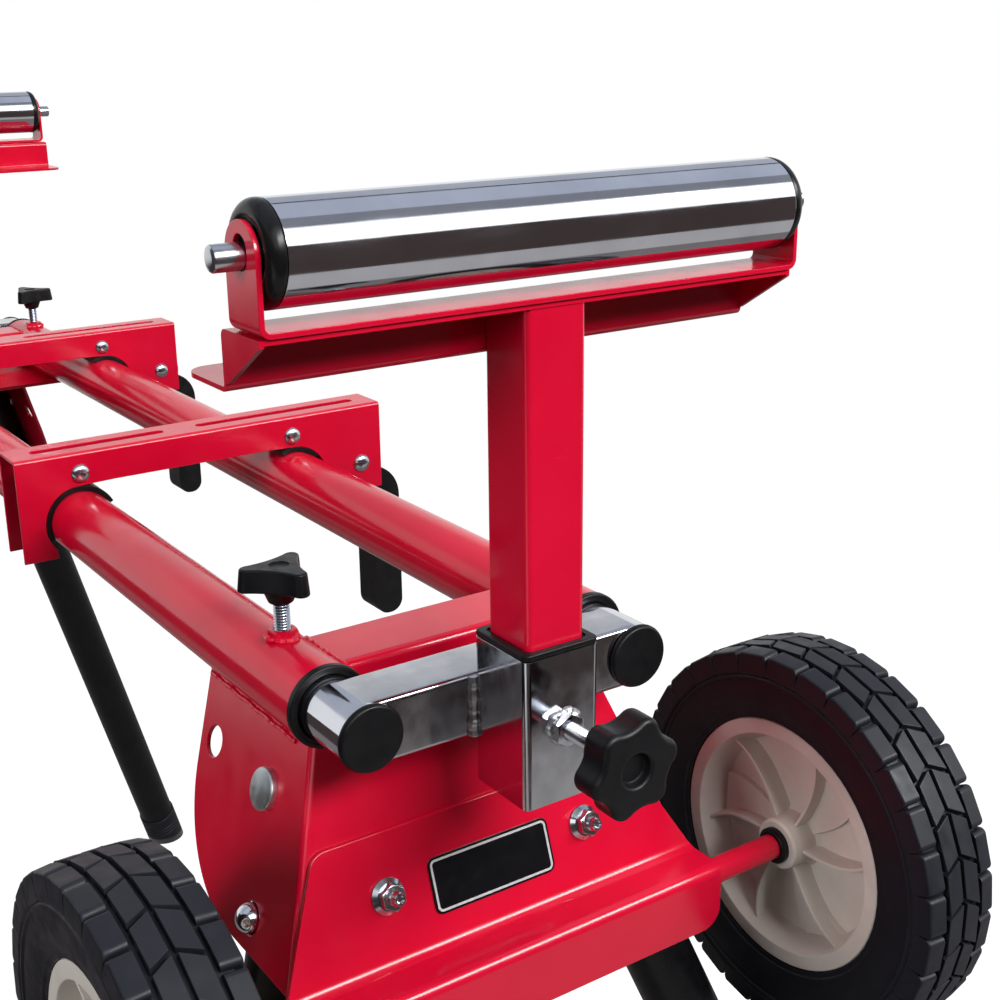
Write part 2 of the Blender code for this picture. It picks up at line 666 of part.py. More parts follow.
def roller_sleeve_half():
    return CRADLE_LENGTH / 2 - CRADLE_SHEET - 2 * GAP - ROLLER_END


def roller_axle_shape(zinc):
    half = CRADLE_LENGTH / 2 + ROLLER_AXLE_STICKOUT
    radius = ROLLER_AXLE_DIAMETER / 2
    chamfer = radius / 5
    profile = [(-half, 0), (-half, radius - chamfer), (-half + chamfer, radius), (half - chamfer, radius),
               (half, radius - chamfer), (half, 0)]
    return shape("roller_axle", turned(profile, "Y", SMALL_ROUND), zinc)


def roller_sleeve_shape(chrome):
    half = roller_sleeve_half()
    return shape("roller_sleeve", tube("Y", -half, half, ROLLER_RADIUS, ROLLER_RADIUS - ROLLER_WALL), chrome)


def roller_core_shape(black):
    """Plastic core: a tube on the axle, a plug in each end of the sleeve and a bulging end outside it."""
    half = roller_sleeve_half()
    bore = ROLLER_AXLE_DIAMETER / 2 + GAP
    plug = ROLLER_RADIUS - ROLLER_WALL - GAP
    waist = bore + ROLLER_WALL * 2
    seat = half + GAP
    end = half + ROLLER_END
    outer_half = [(half - ROLLER_PLUG, waist), (half - ROLLER_PLUG, plug), (seat, plug),
                  (seat, ROLLER_RADIUS), (half + ROLLER_END * 0.55, ROLLER_RADIUS),
                  (half + ROLLER_END * 0.9, ROLLER_RADIUS * 0.9), (end, ROLLER_RADIUS * 0.7), (end, bore)]
    profile = [(-along, radius) for along, radius in outer_half[::-1]] + outer_half
    return shape("roller_core", turned(profile, "Y", ring=True), black)


# Leg brackets

def panel_x(height):
    """Outer face of the sloped front panel at a height."""
    return -PANEL_SETBACK + math.tan(PANEL_SLOPE) * (BRACKET_TOP - height)


def far_pivot_half_width():
    """Half width that lets the far legs lie beside the folded legs of the wheel end."""
    near_axis = PIVOT_HALF_WIDTH - LEG_INSET * math.cos(WHEEL_END_SPLAY)
    far_axis = near_axis - LEG_RADIUS - FOOT_RADIUS - LEG_NEST_GAP
    return far_axis + LEG_INSET * math.cos(FAR_END_SPLAY)


def plate_frame(side, half_width, splay):
    """Frame on the outer face of a side plate at the leg pivot: Z outwards, Y up the plate, X along the rails."""
    outwards = Vector((0, side * math.cos(splay), math.sin(splay)))
    upwards = Vector((0, -side * math.sin(splay), math.cos(splay)))
    along = upwards.cross(outwards)
    turn = Matrix((along, upwards, outwards)).transposed().to_4x4()
    return Matrix.Translation((-PIVOT_SETBACK, side * half_width, -PIVOT_DROP)) @ turn


def bracket_sheet(half_width, splay, top):
    """Sloped front panel and two splayed side plates, folded from one sheet."""
    bottom = -PIVOT_DROP - PLATE_RADIUS * math.cos(splay)
    bm = bmesh.new()
    bends = []
    for side in (-1, 1):
        spread = math.tan(splay)
        ends = []
        for height in (top, bottom):
            width = half_width + spread * (-PIVOT_DROP - height)
            ends.append(bm.verts.new((panel_x(height), side * width, height)))
        rear = []
        top_width = half_width + spread * (-PIVOT_DROP - top)
        rear.append(bm.verts.new((-PIVOT_SETBACK - PLATE_TOP_REACH, side * top_width, top)))
        for u, v in arc((0, 0), PLATE_RADIUS, math.pi / 2 + PLATE_ARC_START, math.pi / 2, 6):
            height = -PIVOT_DROP - v * math.cos(splay)
            rear.append(bm.verts.new((-PIVOT_SETBACK + u, side * (half_width + v * math.sin(splay)), height)))
        loop = [ends[0], *rear, ends[1]]
        bm.faces.new(loop if side < 0 else loop[::-1])
        bends.append(ends)
    left, right = bends
    bm.faces.new((left[0], left[1], right[1], right[0]))
    edges = [bm.edges.get(ends) for ends in bends]
    bmesh.ops.bevel(bm, geom=edges, offset=BRACKET_BEND, segments=CORNER_STEPS, affect="EDGES", profile=0.5)
    bmesh.ops.recalc_face_normals(bm, faces=bm.faces)
    foremost = max(bm.faces, key=lambda face: abs(face.normal.x))
    if foremost.normal.x < 0:
        bmesh.ops.reverse_faces(bm, faces=bm.faces)
    return thickened(bm, BRACKET_SHEET)


def pivot_bolt():
    """Domed bolt and nut along Z, its head on the outer face of the side plate at Z = 0."""
    shank = PIVOT_BOLT_DIAMETER / 2
    head = PIVOT_HEAD_DIAMETER / 2
    nut = PIVOT_NUT_DIAMETER / 2
    nut_in = -PIVOT_REACH
    nut_out = nut_in - PIVOT_NUT_HEIGHT
    profile = [(nut_out, 0), (nut_out, nut), (nut_in, nut), (nut_in, shank), (-SINK, shank), (-SINK, head),
               (PIVOT_HEAD_HEIGHT * 0.25, head * 0.96), (PIVOT_HEAD_HEIGHT * 0.75, head * 0.62),
               (PIVOT_HEAD_HEIGHT, 0)]
    return turned(profile, "Z", SMALL_ROUND)


def leg_bracket_shape(half_width, splay, top, red, extra=None):
    """Bracket with its pivot bolts, and a lock hole for the open and for the folded leg in each plate."""
    body = bracket_sheet(half_width, splay, top)
    if extra:
        body = joined(body, extra)
    holes = []
    bolts = []
    for side in (-1, 1):
        frame = plate_frame(side, half_width, splay)
        for angle in (LEG_LEAN, LEG_LEAN - LEG_FOLD):
            spot = Vector((side * math.sin(angle), -math.cos(angle), 0)) * BUTTON_RADIUS_FROM_PIVOT
            spot.x *= side * frame.col[0].x
            holes.append(drill(frame @ spot, frame.col[2].to_3d(), BUTTON_DIAMETER / 2 + BUTTON_CLEARANCE))
        bolt = pivot_bolt()
        bolt.transform(frame)
        bolts.append(bolt)
    return shape("leg_bracket", joined(cut(body, *holes), *bolts), red)


def far_top_plate():
    """Flat plate under both rails that carries the narrower far bracket."""
    back = -PIVOT_SETBACK - PLATE_TOP_REACH
    half = HALF_SPACING + FAR_PLATE_MARGIN
    outline = rectangle(back, -half, -PANEL_SETBACK, half)
    return prism(outline, "Z", BRACKET_TOP - FAR_PLATE_THICKNESS, BRACKET_TOP)


# Legs, modelled about the pivot: Z up the leg, Y outwards through the side plate

def leg_length(splay):
    """Distance along the leg from its pivot to the floor."""
    pivot_height = RAIL_HEIGHT - PIVOT_DROP - LEG_INSET * math.sin(splay)
    return pivot_height / (math.cos(LEG_LEAN) * math.cos(splay))


def leg_frame(side, half_width, splay):
    """Frame of an open leg on its pivot axis, its foot leaning outwards from the stand."""
    plate = plate_frame(side, half_width, splay)
    outwards = plate.col[2].to_3d()
    along = Vector((1, 0, 0))
    upwards = plate.col[1].to_3d() * math.cos(LEG_LEAN) - along * math.sin(LEG_LEAN)
    turn = Matrix((outwards.cross(upwards), outwards, upwards)).transposed().to_4x4()
    return Matrix.Translation(plate.translation - LEG_INSET * outwards) @ turn


def leg_shape(length, black):
    """Leg tube with a pivot hole through both walls and a button hole in its outer wall."""
    body = tube("Z", -length + FOOT_SOLE + GAP, LEG_ABOVE_PIVOT, LEG_RADIUS, LEG_BORE)
    pivot_radius = around(PIVOT_BOLT_DIAMETER / 2 + PIVOT_CLEARANCE, SMALL_ROUND)
    pivot = rod("Y", -LEG_DIAMETER, LEG_DIAMETER, pivot_radius)
    button = rod("Y", 0, LEG_DIAMETER, BUTTON_DIAMETER / 2 + PIVOT_CLEARANCE)
    button.transform(Matrix.Translation((0, 0, -BUTTON_RADIUS_FROM_PIVOT)))
    return shape("leg", cut(body, pivot, button), black)


def foot_shape(length, floor_normal, rubber):
    """Rubber boot on the leg's end, cut level with the floor."""
    top = -length + FOOT_LENGTH
    bore = LEG_RADIUS + GAP
    seat = -length + FOOT_SOLE
    below = -length - FOOT_RADIUS
    profile = [(below, 0), (below, FOOT_RADIUS), (top - FOOT_WALL, FOOT_RADIUS), (top, bore + FOOT_WALL / 2),
               (top, bore), (seat, bore), (seat, 0)]
    bm = turned(profile, "Z")
    everything = bm.verts[:] + bm.edges[:] + bm.faces[:]
    bmesh.ops.bisect_plane(bm, geom=everything, plane_co=(0, 0, -length), plane_no=floor_normal, clear_inner=True)
    rim = [edge for edge in bm.edges if edge.is_boundary]
    bmesh.ops.contextual_create(bm, geom=rim)
    return shape("foot", closed_outwards(bm), rubber)


def button_shape(zinc):
    """Sprung lock button: a collar inside the leg, a pin through leg and plate, a domed end."""
    radius = BUTTON_DIAMETER / 2
    collar = radius + BUTTON_COLLAR
    front = math.sqrt(LEG_BORE ** 2 - collar ** 2) - 2 * GAP
    tip = LEG_INSET + BUTTON_STICKOUT
    profile = [(front - BUTTON_COLLAR_DEPTH, 0), (front - BUTTON_COLLAR_DEPTH, collar), (front, collar),
               (front, radius), (tip - radius * 0.75, radius), (tip - radius * 0.35, radius * 0.85),
               (tip - radius * 0.08, radius * 0.45), (tip, 0)]
    bm = turned(profile, "Y", SMALL_ROUND)
    bm.transform(Matrix.Translation((0, 0, -BUTTON_RADIUS_FROM_PIVOT)))
    return shape("lock_button", bm, zinc)


# Wheel bracket and wheels

def wheel_bracket_shape(red):
    """Plate on the front panel, a ledge out over the axle and a lip turned down in front of it."""
    top = -WHEEL_BRACKET_TOP
    off = GAP / math.cos(PANEL_SLOPE)
    ledge = -LEDGE_DROP - WHEEL_BRACKET_SHEET
    lip_back = LIP_REACH - WHEEL_BRACKET_SHEET
    lip_bottom = -LEDGE_DROP - LIP_HEIGHT
    folds = [(panel_x(top) + off, top), (panel_x(ledge) + off, ledge), (lip_back, ledge), (lip_back, lip_bottom)]
    strip = bent_strip(folds, WHEEL_BRACKET_SHEET, WHEEL_BRACKET_BEND)
    body = prism(strip, "Y", -2 * LEDGE_HALF, 2 * LEDGE_HALF)
    outline = []
    for side in (1, -1):
        half_top = (side * (WHEEL_BRACKET_TOP_HALF - WHEEL_BRACKET_CORNER), top - WHEEL_BRACKET_CORNER)
        half_lip = (side * (LEDGE_HALF - LIP_CORNER), lip_bottom + LIP_CORNER)
        quarter = math.pi / 2
        upper = arc(half_top, WHEEL_BRACKET_CORNER, quarter, quarter - side * quarter, 4)
        lower = arc(half_lip, LIP_CORNER, quarter - side * quarter, quarter - side * 2 * quarter, 4)
        half = upper + [(side * LEDGE_HALF, -LEDGE_DROP)] + lower
        outline += half if side > 0 else half[::-1]
    return shape("wheel_bracket", trimmed(body, prism(outline, "X", -LIP_REACH, 2 * LIP_REACH)), red)


def axle_shape(zinc):
    """Axle with a collar at each side of the sleeve and a domed nut outside each wheel."""
    radius = AXLE_DIAMETER / 2
    collar_in = SLEEVE_HALF + GAP
    collar_out = collar_in + AXLE_COLLAR
    nut_in = WHEEL_Y + BOSS_LENGTH / 2 + GAP
    nut_out = nut_in + AXLE_NUT_HEIGHT
    nut = AXLE_NUT_DIAMETER / 2
    half = [(collar_in, radius), (collar_in, AXLE_COLLAR_DIAMETER / 2), (collar_out, AXLE_COLLAR_DIAMETER / 2),
            (collar_out, radius), (nut_in, radius), (nut_in, nut), (nut_in + AXLE_NUT_HEIGHT / 2, nut),
            (nut_out - AXLE_NUT_HEIGHT / 6, nut * 0.6), (nut_out, 0)]
    profile = [(-along, size) for along, size in half[::-1]] + half
    return shape("axle", turned(profile, "Y", SMALL_ROUND), zinc)


def hub_shape(beige):
    """Moulded wheel hub: boss, web and rim, with curved ribs in the dish on both sides."""
    bore = AXLE_DIAMETER / 2 + GAP
    boss = BOSS_DIAMETER / 2
    barrel = SEAT_RADIUS - RIM_WALL
    web = WEB_THICKNESS / 2
    rim = RIM_WIDTH / 2
    half = [(web, boss * 1.1), (web, barrel), (rim, barrel + RIM_STEP), (rim, RIM_RADIUS),
            (rim - RIM_FLANGE, SEAT_RADIUS)]
    profile = [(BOSS_LENGTH / 2, bore), (BOSS_LENGTH / 2, boss)] + half
    profile += [(-along, radius) for along, radius in profile[::-1]]
    body = turned(profile, "Y", HUB_FACETS, ring=True)
    ribs = bmesh.new()
    depth = rim - RIB_RIM_SETBACK
    for index in range(RIB_COUNT):
        start = 2 * math.pi * index / RIB_COUNT
        inner_side = []
        outer_side = []
        for step in range(3):
            share = step / 2
            radius = boss - SINK + share * (barrel - boss + RIM_STEP / 2 + SINK)
            angle = start + RIB_SWEEP * share ** 2
            lean = RIB_THICKNESS / 2 / radius
            inner_side.append((radius * math.cos(angle - lean), radius * math.sin(angle - lean)))
            outer_side.append((radius * math.cos(angle + lean), radius * math.sin(angle + lean)))
        rib = prism(inner_side + outer_side[::-1], "Y", -depth, depth)
        scratch = bpy.data.meshes.new("rib")
        rib.to_mesh(scratch)
        rib.free()
        ribs.from_mesh(scratch)
        bpy.data.meshes.remove(scratch)
    return shape("hub", joined(body, ribs), beige)


def tyre_shape(black):
    """Tyre on the rim seat, with blocks round the crown and lugs down both shoulders."""
    segments = 2 * TREAD_LUGS
    bead = RIM_WIDTH / 2 - RIM_FLANGE - 2 * GAP
    crown = TYRE_DIAMETER / 2
    shoulder = crown - TREAD_CROWN
    half = [(0, crown), (TREAD_WIDTH / 2, shoulder), (TYRE_WIDTH / 2, shoulder - LUG_LENGTH),
            (RIM_WIDTH / 2, around(RIM_RADIUS + GAP, segments)), (bead, around(SEAT_RADIUS + GAP, segments))]
    profile = [(-along, radius) for along, radius in half[:0:-1]] + half
    middle = len(half) - 1

    def groove(row, step):
        """Depth of the tread pattern at one point of the grid, staggered from the crown to the shoulders."""
        from_middle = abs(row - middle)
        cut_here = from_middle < 2 and (step + from_middle) % 2
        return -TREAD_DEPTH if cut_here else 0.0

    return shape("tyre", turned(profile, "Y", segments, ring=True, reach=groove), black)


# Saw brackets, modelled about the middle of the rails: Y across, the lever at +Y

def saw_bracket_shape(red):
    """Inverted channel that sits over both rails, with slots on top, a fixed jaw and a lever end."""
    jaw_end = -HALF_SPACING - SADDLE_RADIUS - CHANNEL_JAW_REACH
    right = (HALF_SPACING, 0)
    left = (-HALF_SPACING, 0)
    above = math.radians(90)
    jaw_angle = math.radians(220)
    jaw_tip = arc(left, SADDLE_RADIUS, jaw_angle, jaw_angle, 1)[0]
    outline = [(jaw_end, CHANNEL_TOP), (jaw_end, -CHANNEL_JAW_DROP), (jaw_tip[0] + SINK, -CHANNEL_JAW_DROP)]
    outline += arc(left, SADDLE_RADIUS, jaw_angle, above, 8, hollow=True)
    outline += [(left[0] + SADDLE_RADIUS, CHANNEL_WAIST), (right[0] - SADDLE_RADIUS, CHANNEL_WAIST)]
    outline += arc(right, SADDLE_RADIUS, above, math.radians(20), 5, hollow=True)
    outline += [(right[0] + SADDLE_RADIUS, -CHANNEL_LEVER_DROP), (CHANNEL_LEVER_END, -CHANNEL_LEVER_DROP),
                (CHANNEL_LEVER_END, CHANNEL_TOP)]
    half = CHANNEL_WIDTH / 2
    body = prism(outline, "X", -half, half)
    ridges = []
    for edge in body.edges:
        ends = [vert.co for vert in edge.verts]
        level = all(abs(end.z - CHANNEL_TOP) < GAP for end in ends)
        if level and abs(ends[0].x - ends[1].x) < GAP:
            ridges.append(edge)
    bmesh.ops.bevel(body, geom=ridges, offset=CHANNEL_BEND, segments=2, affect="EDGES", profile=0.5)
    inside = half - CHANNEL_SHEET
    hollow = prism(rectangle(-inside, -1, inside, CHANNEL_TOP - CHANNEL_SHEET), "Y", -1, 1)
    slots = []
    for side in (-1, 1):
        reach = SLOT_OUTER if side > 0 else -jaw_end - SLOT_WIDTH * 2
        outline = rounded_rectangle(SLOT_WIDTH, reach - SLOT_INNER, SLOT_WIDTH / 2 - GAP / 2,
                                    (0, side * (reach + SLOT_INNER) / 2))
        slots.append(prism(outline, "Z", CHANNEL_WAIST, 2 * CHANNEL_TOP))
    shank = LEVER_PIN_DIAMETER / 2
    head = LEVER_PIN_HEAD / 2
    pin_half = [(half - SINK, shank), (half - SINK, head), (half + LEVER_PIN_HEAD_HEIGHT * 0.4, head * 0.9),
                (half + LEVER_PIN_HEAD_HEIGHT, 0)]
    pin = turned([(-along, radius) for along, radius in pin_half[::-1]] + pin_half, "X", SMALL_ROUND)
    pin.transform(Matrix.Translation((0, HALF_SPACING + LEVER_PIVOT_OUT, LEVER_PIVOT_UP)))
    return shape("saw_bracket", joined(cut(body, hollow, *slots), pin), red)


def saddle_pad_shape(side, black):
    """Curved plastic pad between the channel and a rail; the jaw side wraps further round."""
    start, end = (math.radians(25), math.radians(205)) if side < 0 else (math.radians(40), math.radians(155))
    centre = (side * HALF_SPACING, 0)
    outline = arc(centre, SADDLE_RADIUS - GAP, start, end, 8)
    outline += arc(centre, RAIL_RADIUS + GAP, end, start, 8, hollow=True)
    half = CHANNEL_WIDTH / 2 - GAP
    return shape("saddle_pad", prism(outline, "X", -half, half), black)


def clamp_lever_shape(black):
    """Cam lever about its pin: the round cam bears on the rail, the arm hangs outside the channel's end."""
    to_rail = Vector((-LEVER_PIVOT_OUT, -LEVER_PIVOT_UP))
    reach = to_rail.length - RAIL_RADIUS - GAP
    offset = to_rail.normalized() * (reach - CAM_RADIUS)
    half = LEVER_WIDTH / 2
    cam = rod("X", -half, half, CAM_RADIUS, ROUND)
    cam.transform(Matrix.Translation((0, offset.x, offset.y)))
    inner = LEVER_ARM_INNER
    outer = inner + LEVER_ARM_THICKNESS
    tip = LEVER_TIP_RADIUS
    low = tip - LEVER_ARM_LENGTH
    quarter = math.pi / 2
    outline = arc((inner + tip, low), tip, 2 * quarter, 3 * quarter, 3)
    outline += arc((outer - tip, low), tip, 3 * quarter, 4 * quarter, 3)
    outline += arc((outer - LEVER_SHOULDER, -LEVER_SHOULDER_DROP), LEVER_SHOULDER, 0, quarter, 4)
    outline.append((inner, -LEVER_SHOULDER_DROP))
    arm = prism(outline, "X", -half + SINK, half - SINK)
    bore = rod("X", -LEVER_WIDTH, LEVER_WIDTH, around(LEVER_PIN_DIAMETER / 2 + GAP, SMALL_ROUND))
    return shape("clamp_lever", cut(joined(cam, arm), bore), black)


# Assembly

def build():
    for old in list(bpy.data.objects):
        bpy.data.objects.remove(old)
    red = finish("red_powder_coat", (0.62, 0.012, 0.03), 0.25, 0.0)
    chrome = finish("chrome_plate", (0.8, 0.8, 0.82), 0.08, 1.0)
    zinc = finish("zinc_plate", (0.72, 0.74, 0.76), 0.25, 1.0)
    black = finish("black_plastic", (0.02, 0.02, 0.022), 0.4, 0.0)
    black_paint = finish("black_paint", (0.012, 0.012, 0.013), 0.35, 0.0)
    rubber = finish("black_rubber", (0.03, 0.03, 0.032), 0.7, 0.0)
    beige = finish("beige_plastic", (0.5, 0.45, 0.38), 0.5, 0.0)

    far_half_width = far_pivot_half_width()
    front = END_DISTANCE + AXLE_X + TYRE_DIAMETER / 2
    far_foot = leg_length(FAR_END_SPLAY) * math.sin(LEG_LEAN) - PIVOT_SETBACK
    floor_normal = Vector((0, 0, 1))
    foot_tilt = floor_normal.angle(leg_frame(1, far_half_width, FAR_END_SPLAY).col[2].to_3d())
    back = END_DISTANCE + far_foot + FOOT_RADIUS / math.cos(foot_tilt)
    stand = axis_frame("stand", None, Matrix.Translation(((back - front) / 2, 0, RAIL_HEIGHT)))
    ends = {
        "wheel_end": axis_frame("wheel_end", stand, Matrix.Translation((END_DISTANCE, 0, 0))),
        "far_end": axis_frame("far_end", stand,
                              Matrix.Translation((-END_DISTANCE, 0, 0)) @ Matrix.Rotation(math.pi, 4, "Z")),
    }

    rail = rail_shape(red)
    left_rail = axis_frame("left_rail_axis", stand, Matrix.Translation((0, -HALF_SPACING, 0)))
    right_rail = axis_frame("right_rail_axis", stand,
                            Matrix.Translation((0, HALF_SPACING, 0)) @ Matrix.Rotation(math.pi, 4, "Z"))
    place("left_rail", rail, left_rail)
    place("right_rail", rail, right_rail)

    shared = {
        "cross_tube": cross_tube_shape(red),
        "arm": arm_shape(chrome),
        "post_guide": post_guide_shape(black),
        "star_knob": star_knob_shape(black),
        "arm_lock_knob": lock_knob_shape(black),
        "post": post_shape(red),
        "cradle": cradle_shape(red),
        "roller_axle": roller_axle_shape(zinc),
        "roller_sleeve": roller_sleeve_shape(chrome),
        "roller_core": roller_core_shape(black),
    }
    bushing = bushing_shape(black)
    tube_cap = tube_cap_shape(black)
    button = button_shape(zinc)

    for end, fixed in ends.items():
        turned_round = 1 if end == "wheel_end" else -1
        place(f"{end}_cross_tube", shared["cross_tube"], fixed)
        arm = axis_frame(f"{end}_arm_slide", fixed, Matrix())
        place(f"{end}_arm", shared["arm"], arm)
        place(f"{end}_post_guide", shared["post_guide"], arm)
        knob = axis_frame(f"{end}_star_knob_axis", arm, Matrix.Translation((POST_X, 0, 0)))
        place(f"{end}_star_knob", shared["star_knob"], knob)
        head = axis_frame(f"{end}_post_slide", arm, Matrix.Translation((POST_X, 0, 0)))
        place(f"{end}_post", shared["post"], head)
        place(f"{end}_cradle", shared["cradle"], head)
        roller = axis_frame(f"{end}_roller_axis", head, Matrix.Translation((ROLLER_FORWARD, 0, ROLLER_HEIGHT)))
        place(f"{end}_roller_axle", shared["roller_axle"], roller)
        place(f"{end}_roller_sleeve", shared["roller_sleeve"], roller)
        place(f"{end}_roller_core", shared["roller_core"], roller)
        lock = axis_frame(f"{end}_lock_knob_axis", fixed, Matrix.Translation((-LOCK_KNOB_SETBACK, -HALF_SPACING, 0)))
        place(f"{end}_arm_lock_knob", shared["arm_lock_knob"], lock)

        splay = WHEEL_END_SPLAY if end == "wheel_end" else FAR_END_SPLAY
        half_width = PIVOT_HALF_WIDTH if end == "wheel_end" else far_half_width
        if end == "wheel_end":
            bracket = leg_bracket_shape(half_width, splay, BRACKET_TOP, red)
        else:
            bracket = leg_bracket_shape(half_width, splay, BRACKET_TOP - SINK, red, far_top_plate())
        place(f"{end}_leg_bracket", bracket, fixed)
        length = leg_length(splay)
        leg = leg_shape(length, black_paint)
        for side in (-1, 1):
            hand = "right" if side * turned_round > 0 else "left"
            spot = axis_frame(f"{end}_{hand}_rail_end", fixed, Matrix.Translation((0, side * HALF_SPACING, 0)))
            place(f"{end}_{hand}_bushing", bushing, spot)
            tube_end = axis_frame(f"{end}_{hand}_tube_end", arm, Matrix.Translation((0, side * HALF_SPACING, 0)))
            place(f"{end}_{hand}_tube_cap", tube_cap, tube_end)
            open_leg = leg_frame(side, half_width, splay)
            pivot = axis_frame(f"{end}_{hand}_leg_pivot", fixed, open_leg)
            local_floor = open_leg.to_3x3().transposed() @ floor_normal
            place(f"{end}_{hand}_leg", leg, pivot)
            place(f"{end}_{hand}_foot", foot_shape(length, local_floor, rubber), pivot)
            place(f"{end}_{hand}_lock_button", button, pivot)

    wheel_end = ends["wheel_end"]
    place("wheel_bracket", wheel_bracket_shape(red), wheel_end)
    axle = axis_frame("axle_axis", wheel_end, Matrix.Translation((AXLE_X, 0, AXLE_Z)))
    sleeve = tube("Y", -SLEEVE_HALF, SLEEVE_HALF, SLEEVE_RADIUS, AXLE_DIAMETER / 2 + GAP, SMALL_ROUND)
    place("axle_sleeve", shape("axle_sleeve", sleeve, red), axle)
    place("axle", axle_shape(zinc), axle)
    hub = hub_shape(beige)
    tyre = tyre_shape(rubber)
    for hand, side in (("left", -1), ("right", 1)):
        wheel = axis_frame(f"{hand}_wheel_axis", axle, Matrix.Translation((0, side * WHEEL_Y, 0)))
        place(f"{hand}_hub", hub, wheel)
        place(f"{hand}_tyre", tyre, wheel)

    saw_bracket = saw_bracket_shape(red)
    pads = {"left": saddle_pad_shape(-1, black), "right": saddle_pad_shape(1, black)}
    lever = clamp_lever_shape(black)
    for index, end in enumerate(ends):
        setback = SAW_BRACKET_SETBACK + index * SAW_BRACKET_PITCH
        slide = axis_frame(f"{end}_saw_bracket_slide", wheel_end, Matrix.Translation((-setback, 0, 0)))
        place(f"{end}_saw_bracket", saw_bracket, slide)
        for hand, pad in pads.items():
            place(f"{end}_{hand}_saddle_pad", pad, slide)
        pin = Matrix.Translation((0, HALF_SPACING + LEVER_PIVOT_OUT, LEVER_PIVOT_UP))
        place(f"{end}_clamp_lever", lever, axis_frame(f"{end}_lever_pivot", slide, pin))


build()
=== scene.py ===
"""Looks of the rolling miter saw stand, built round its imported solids.

Every piece is modelled once, in the frame of its own end of the stand (X outwards from the face of the rail
bushings, Y across, Z up from the rail axis), and then set down at each place the frame gives for it.
"""
import json
import math

import bmesh
import bpy
from mathutils import Matrix, Vector

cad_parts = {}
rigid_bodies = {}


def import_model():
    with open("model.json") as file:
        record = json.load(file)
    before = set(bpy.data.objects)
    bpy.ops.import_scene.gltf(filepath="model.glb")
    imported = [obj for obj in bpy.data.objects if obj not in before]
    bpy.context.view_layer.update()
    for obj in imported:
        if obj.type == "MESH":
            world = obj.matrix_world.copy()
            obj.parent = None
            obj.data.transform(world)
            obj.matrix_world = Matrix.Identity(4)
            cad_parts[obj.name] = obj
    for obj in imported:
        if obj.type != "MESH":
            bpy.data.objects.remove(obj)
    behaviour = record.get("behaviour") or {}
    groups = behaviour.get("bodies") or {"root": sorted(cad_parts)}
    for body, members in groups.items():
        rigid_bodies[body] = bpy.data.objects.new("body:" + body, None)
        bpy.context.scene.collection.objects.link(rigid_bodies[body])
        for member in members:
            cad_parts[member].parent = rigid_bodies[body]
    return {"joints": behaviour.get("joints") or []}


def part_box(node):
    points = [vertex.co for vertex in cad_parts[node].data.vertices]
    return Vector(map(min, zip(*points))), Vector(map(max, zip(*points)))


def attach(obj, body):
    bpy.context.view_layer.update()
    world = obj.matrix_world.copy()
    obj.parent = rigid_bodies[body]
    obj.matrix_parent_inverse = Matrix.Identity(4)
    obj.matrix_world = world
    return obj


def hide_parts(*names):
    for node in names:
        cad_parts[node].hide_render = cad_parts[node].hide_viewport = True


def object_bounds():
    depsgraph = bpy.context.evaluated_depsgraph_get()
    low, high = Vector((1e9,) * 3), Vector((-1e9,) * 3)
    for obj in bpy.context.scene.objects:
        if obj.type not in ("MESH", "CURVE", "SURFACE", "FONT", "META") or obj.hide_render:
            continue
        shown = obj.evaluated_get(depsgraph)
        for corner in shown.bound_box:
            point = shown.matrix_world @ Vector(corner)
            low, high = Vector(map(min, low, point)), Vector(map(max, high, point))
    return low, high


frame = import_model()
CAD_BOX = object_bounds()
JOINTS = {joint["name"]: joint for joint in frame["joints"]}
MM = 0.001
QUARTER = math.pi / 2
RAIL_RADIUS = 24.15 * MM
HAND_SIDES = {"left": -1, "right": 1}

# Places taken from the frame
RAIL_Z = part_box("left_rail")[0].z + RAIL_RADIUS
HALF_SPACING = sum(corner.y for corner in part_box("right_rail")) / 2
RAIL_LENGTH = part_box("left_rail")[1].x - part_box("left_rail")[0].x
RAIL_MIDDLE = sum(corner.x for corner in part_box("left_rail")) / 2
WHEEL_END_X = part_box("wheel_end_left_bushing")[1].x
FAR_END_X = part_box("far_end_left_bushing")[0].x
ENDS = {
    "wheel_end": Matrix.Translation((WHEEL_END_X, 0, RAIL_Z)),
    "far_end": Matrix.Translation((FAR_END_X, 0, RAIL_Z)) @ Matrix.Rotation(math.pi, 4, "Z"),
}


def joint_spot(name):
    return Vector(JOINTS[name]["pos_m"])


def in_wheel_end(place):
    """A world point in the frame of the wheel end."""
    return ENDS["wheel_end"].inverted() @ place


POST_X = in_wheel_end(joint_spot("wheel_end_star_knob_turn")).x
ROLLER = in_wheel_end(joint_spot("wheel_end_roller_spin")) - Vector((POST_X, 0, 0))
AXLE = in_wheel_end(joint_spot("right_wheel_spin"))
WHEEL_Y = AXLE.y
LOCK_SETBACK = -in_wheel_end(joint_spot("wheel_end_arm_lock_turn")).x

# Frame tubes and bushings
FRAME_GAP = 0.3 * MM
RAIL_WALL = 2 * MM
BUSHING_FLANGE = 5 * MM
BUSHING_RIM = RAIL_RADIUS + 0.7 * MM
BUSHING_DEPTH = 40 * MM
BUSHING_EDGE = 1.4 * MM
BUSHING_LEAD = 1.6 * MM
BUSHING_STEP = 0.5 * MM
CROSS_WIDTH = 50 * MM
CROSS_HEIGHT = 38.1 * MM
CROSS_CORNER = 5 * MM
CROSS_SETBACK = 5.5 * MM
CROSS_MIDDLE = -BUSHING_FLANGE - CROSS_SETBACK - CROSS_WIDTH / 2
CROSS_WELD = 1.5 * MM

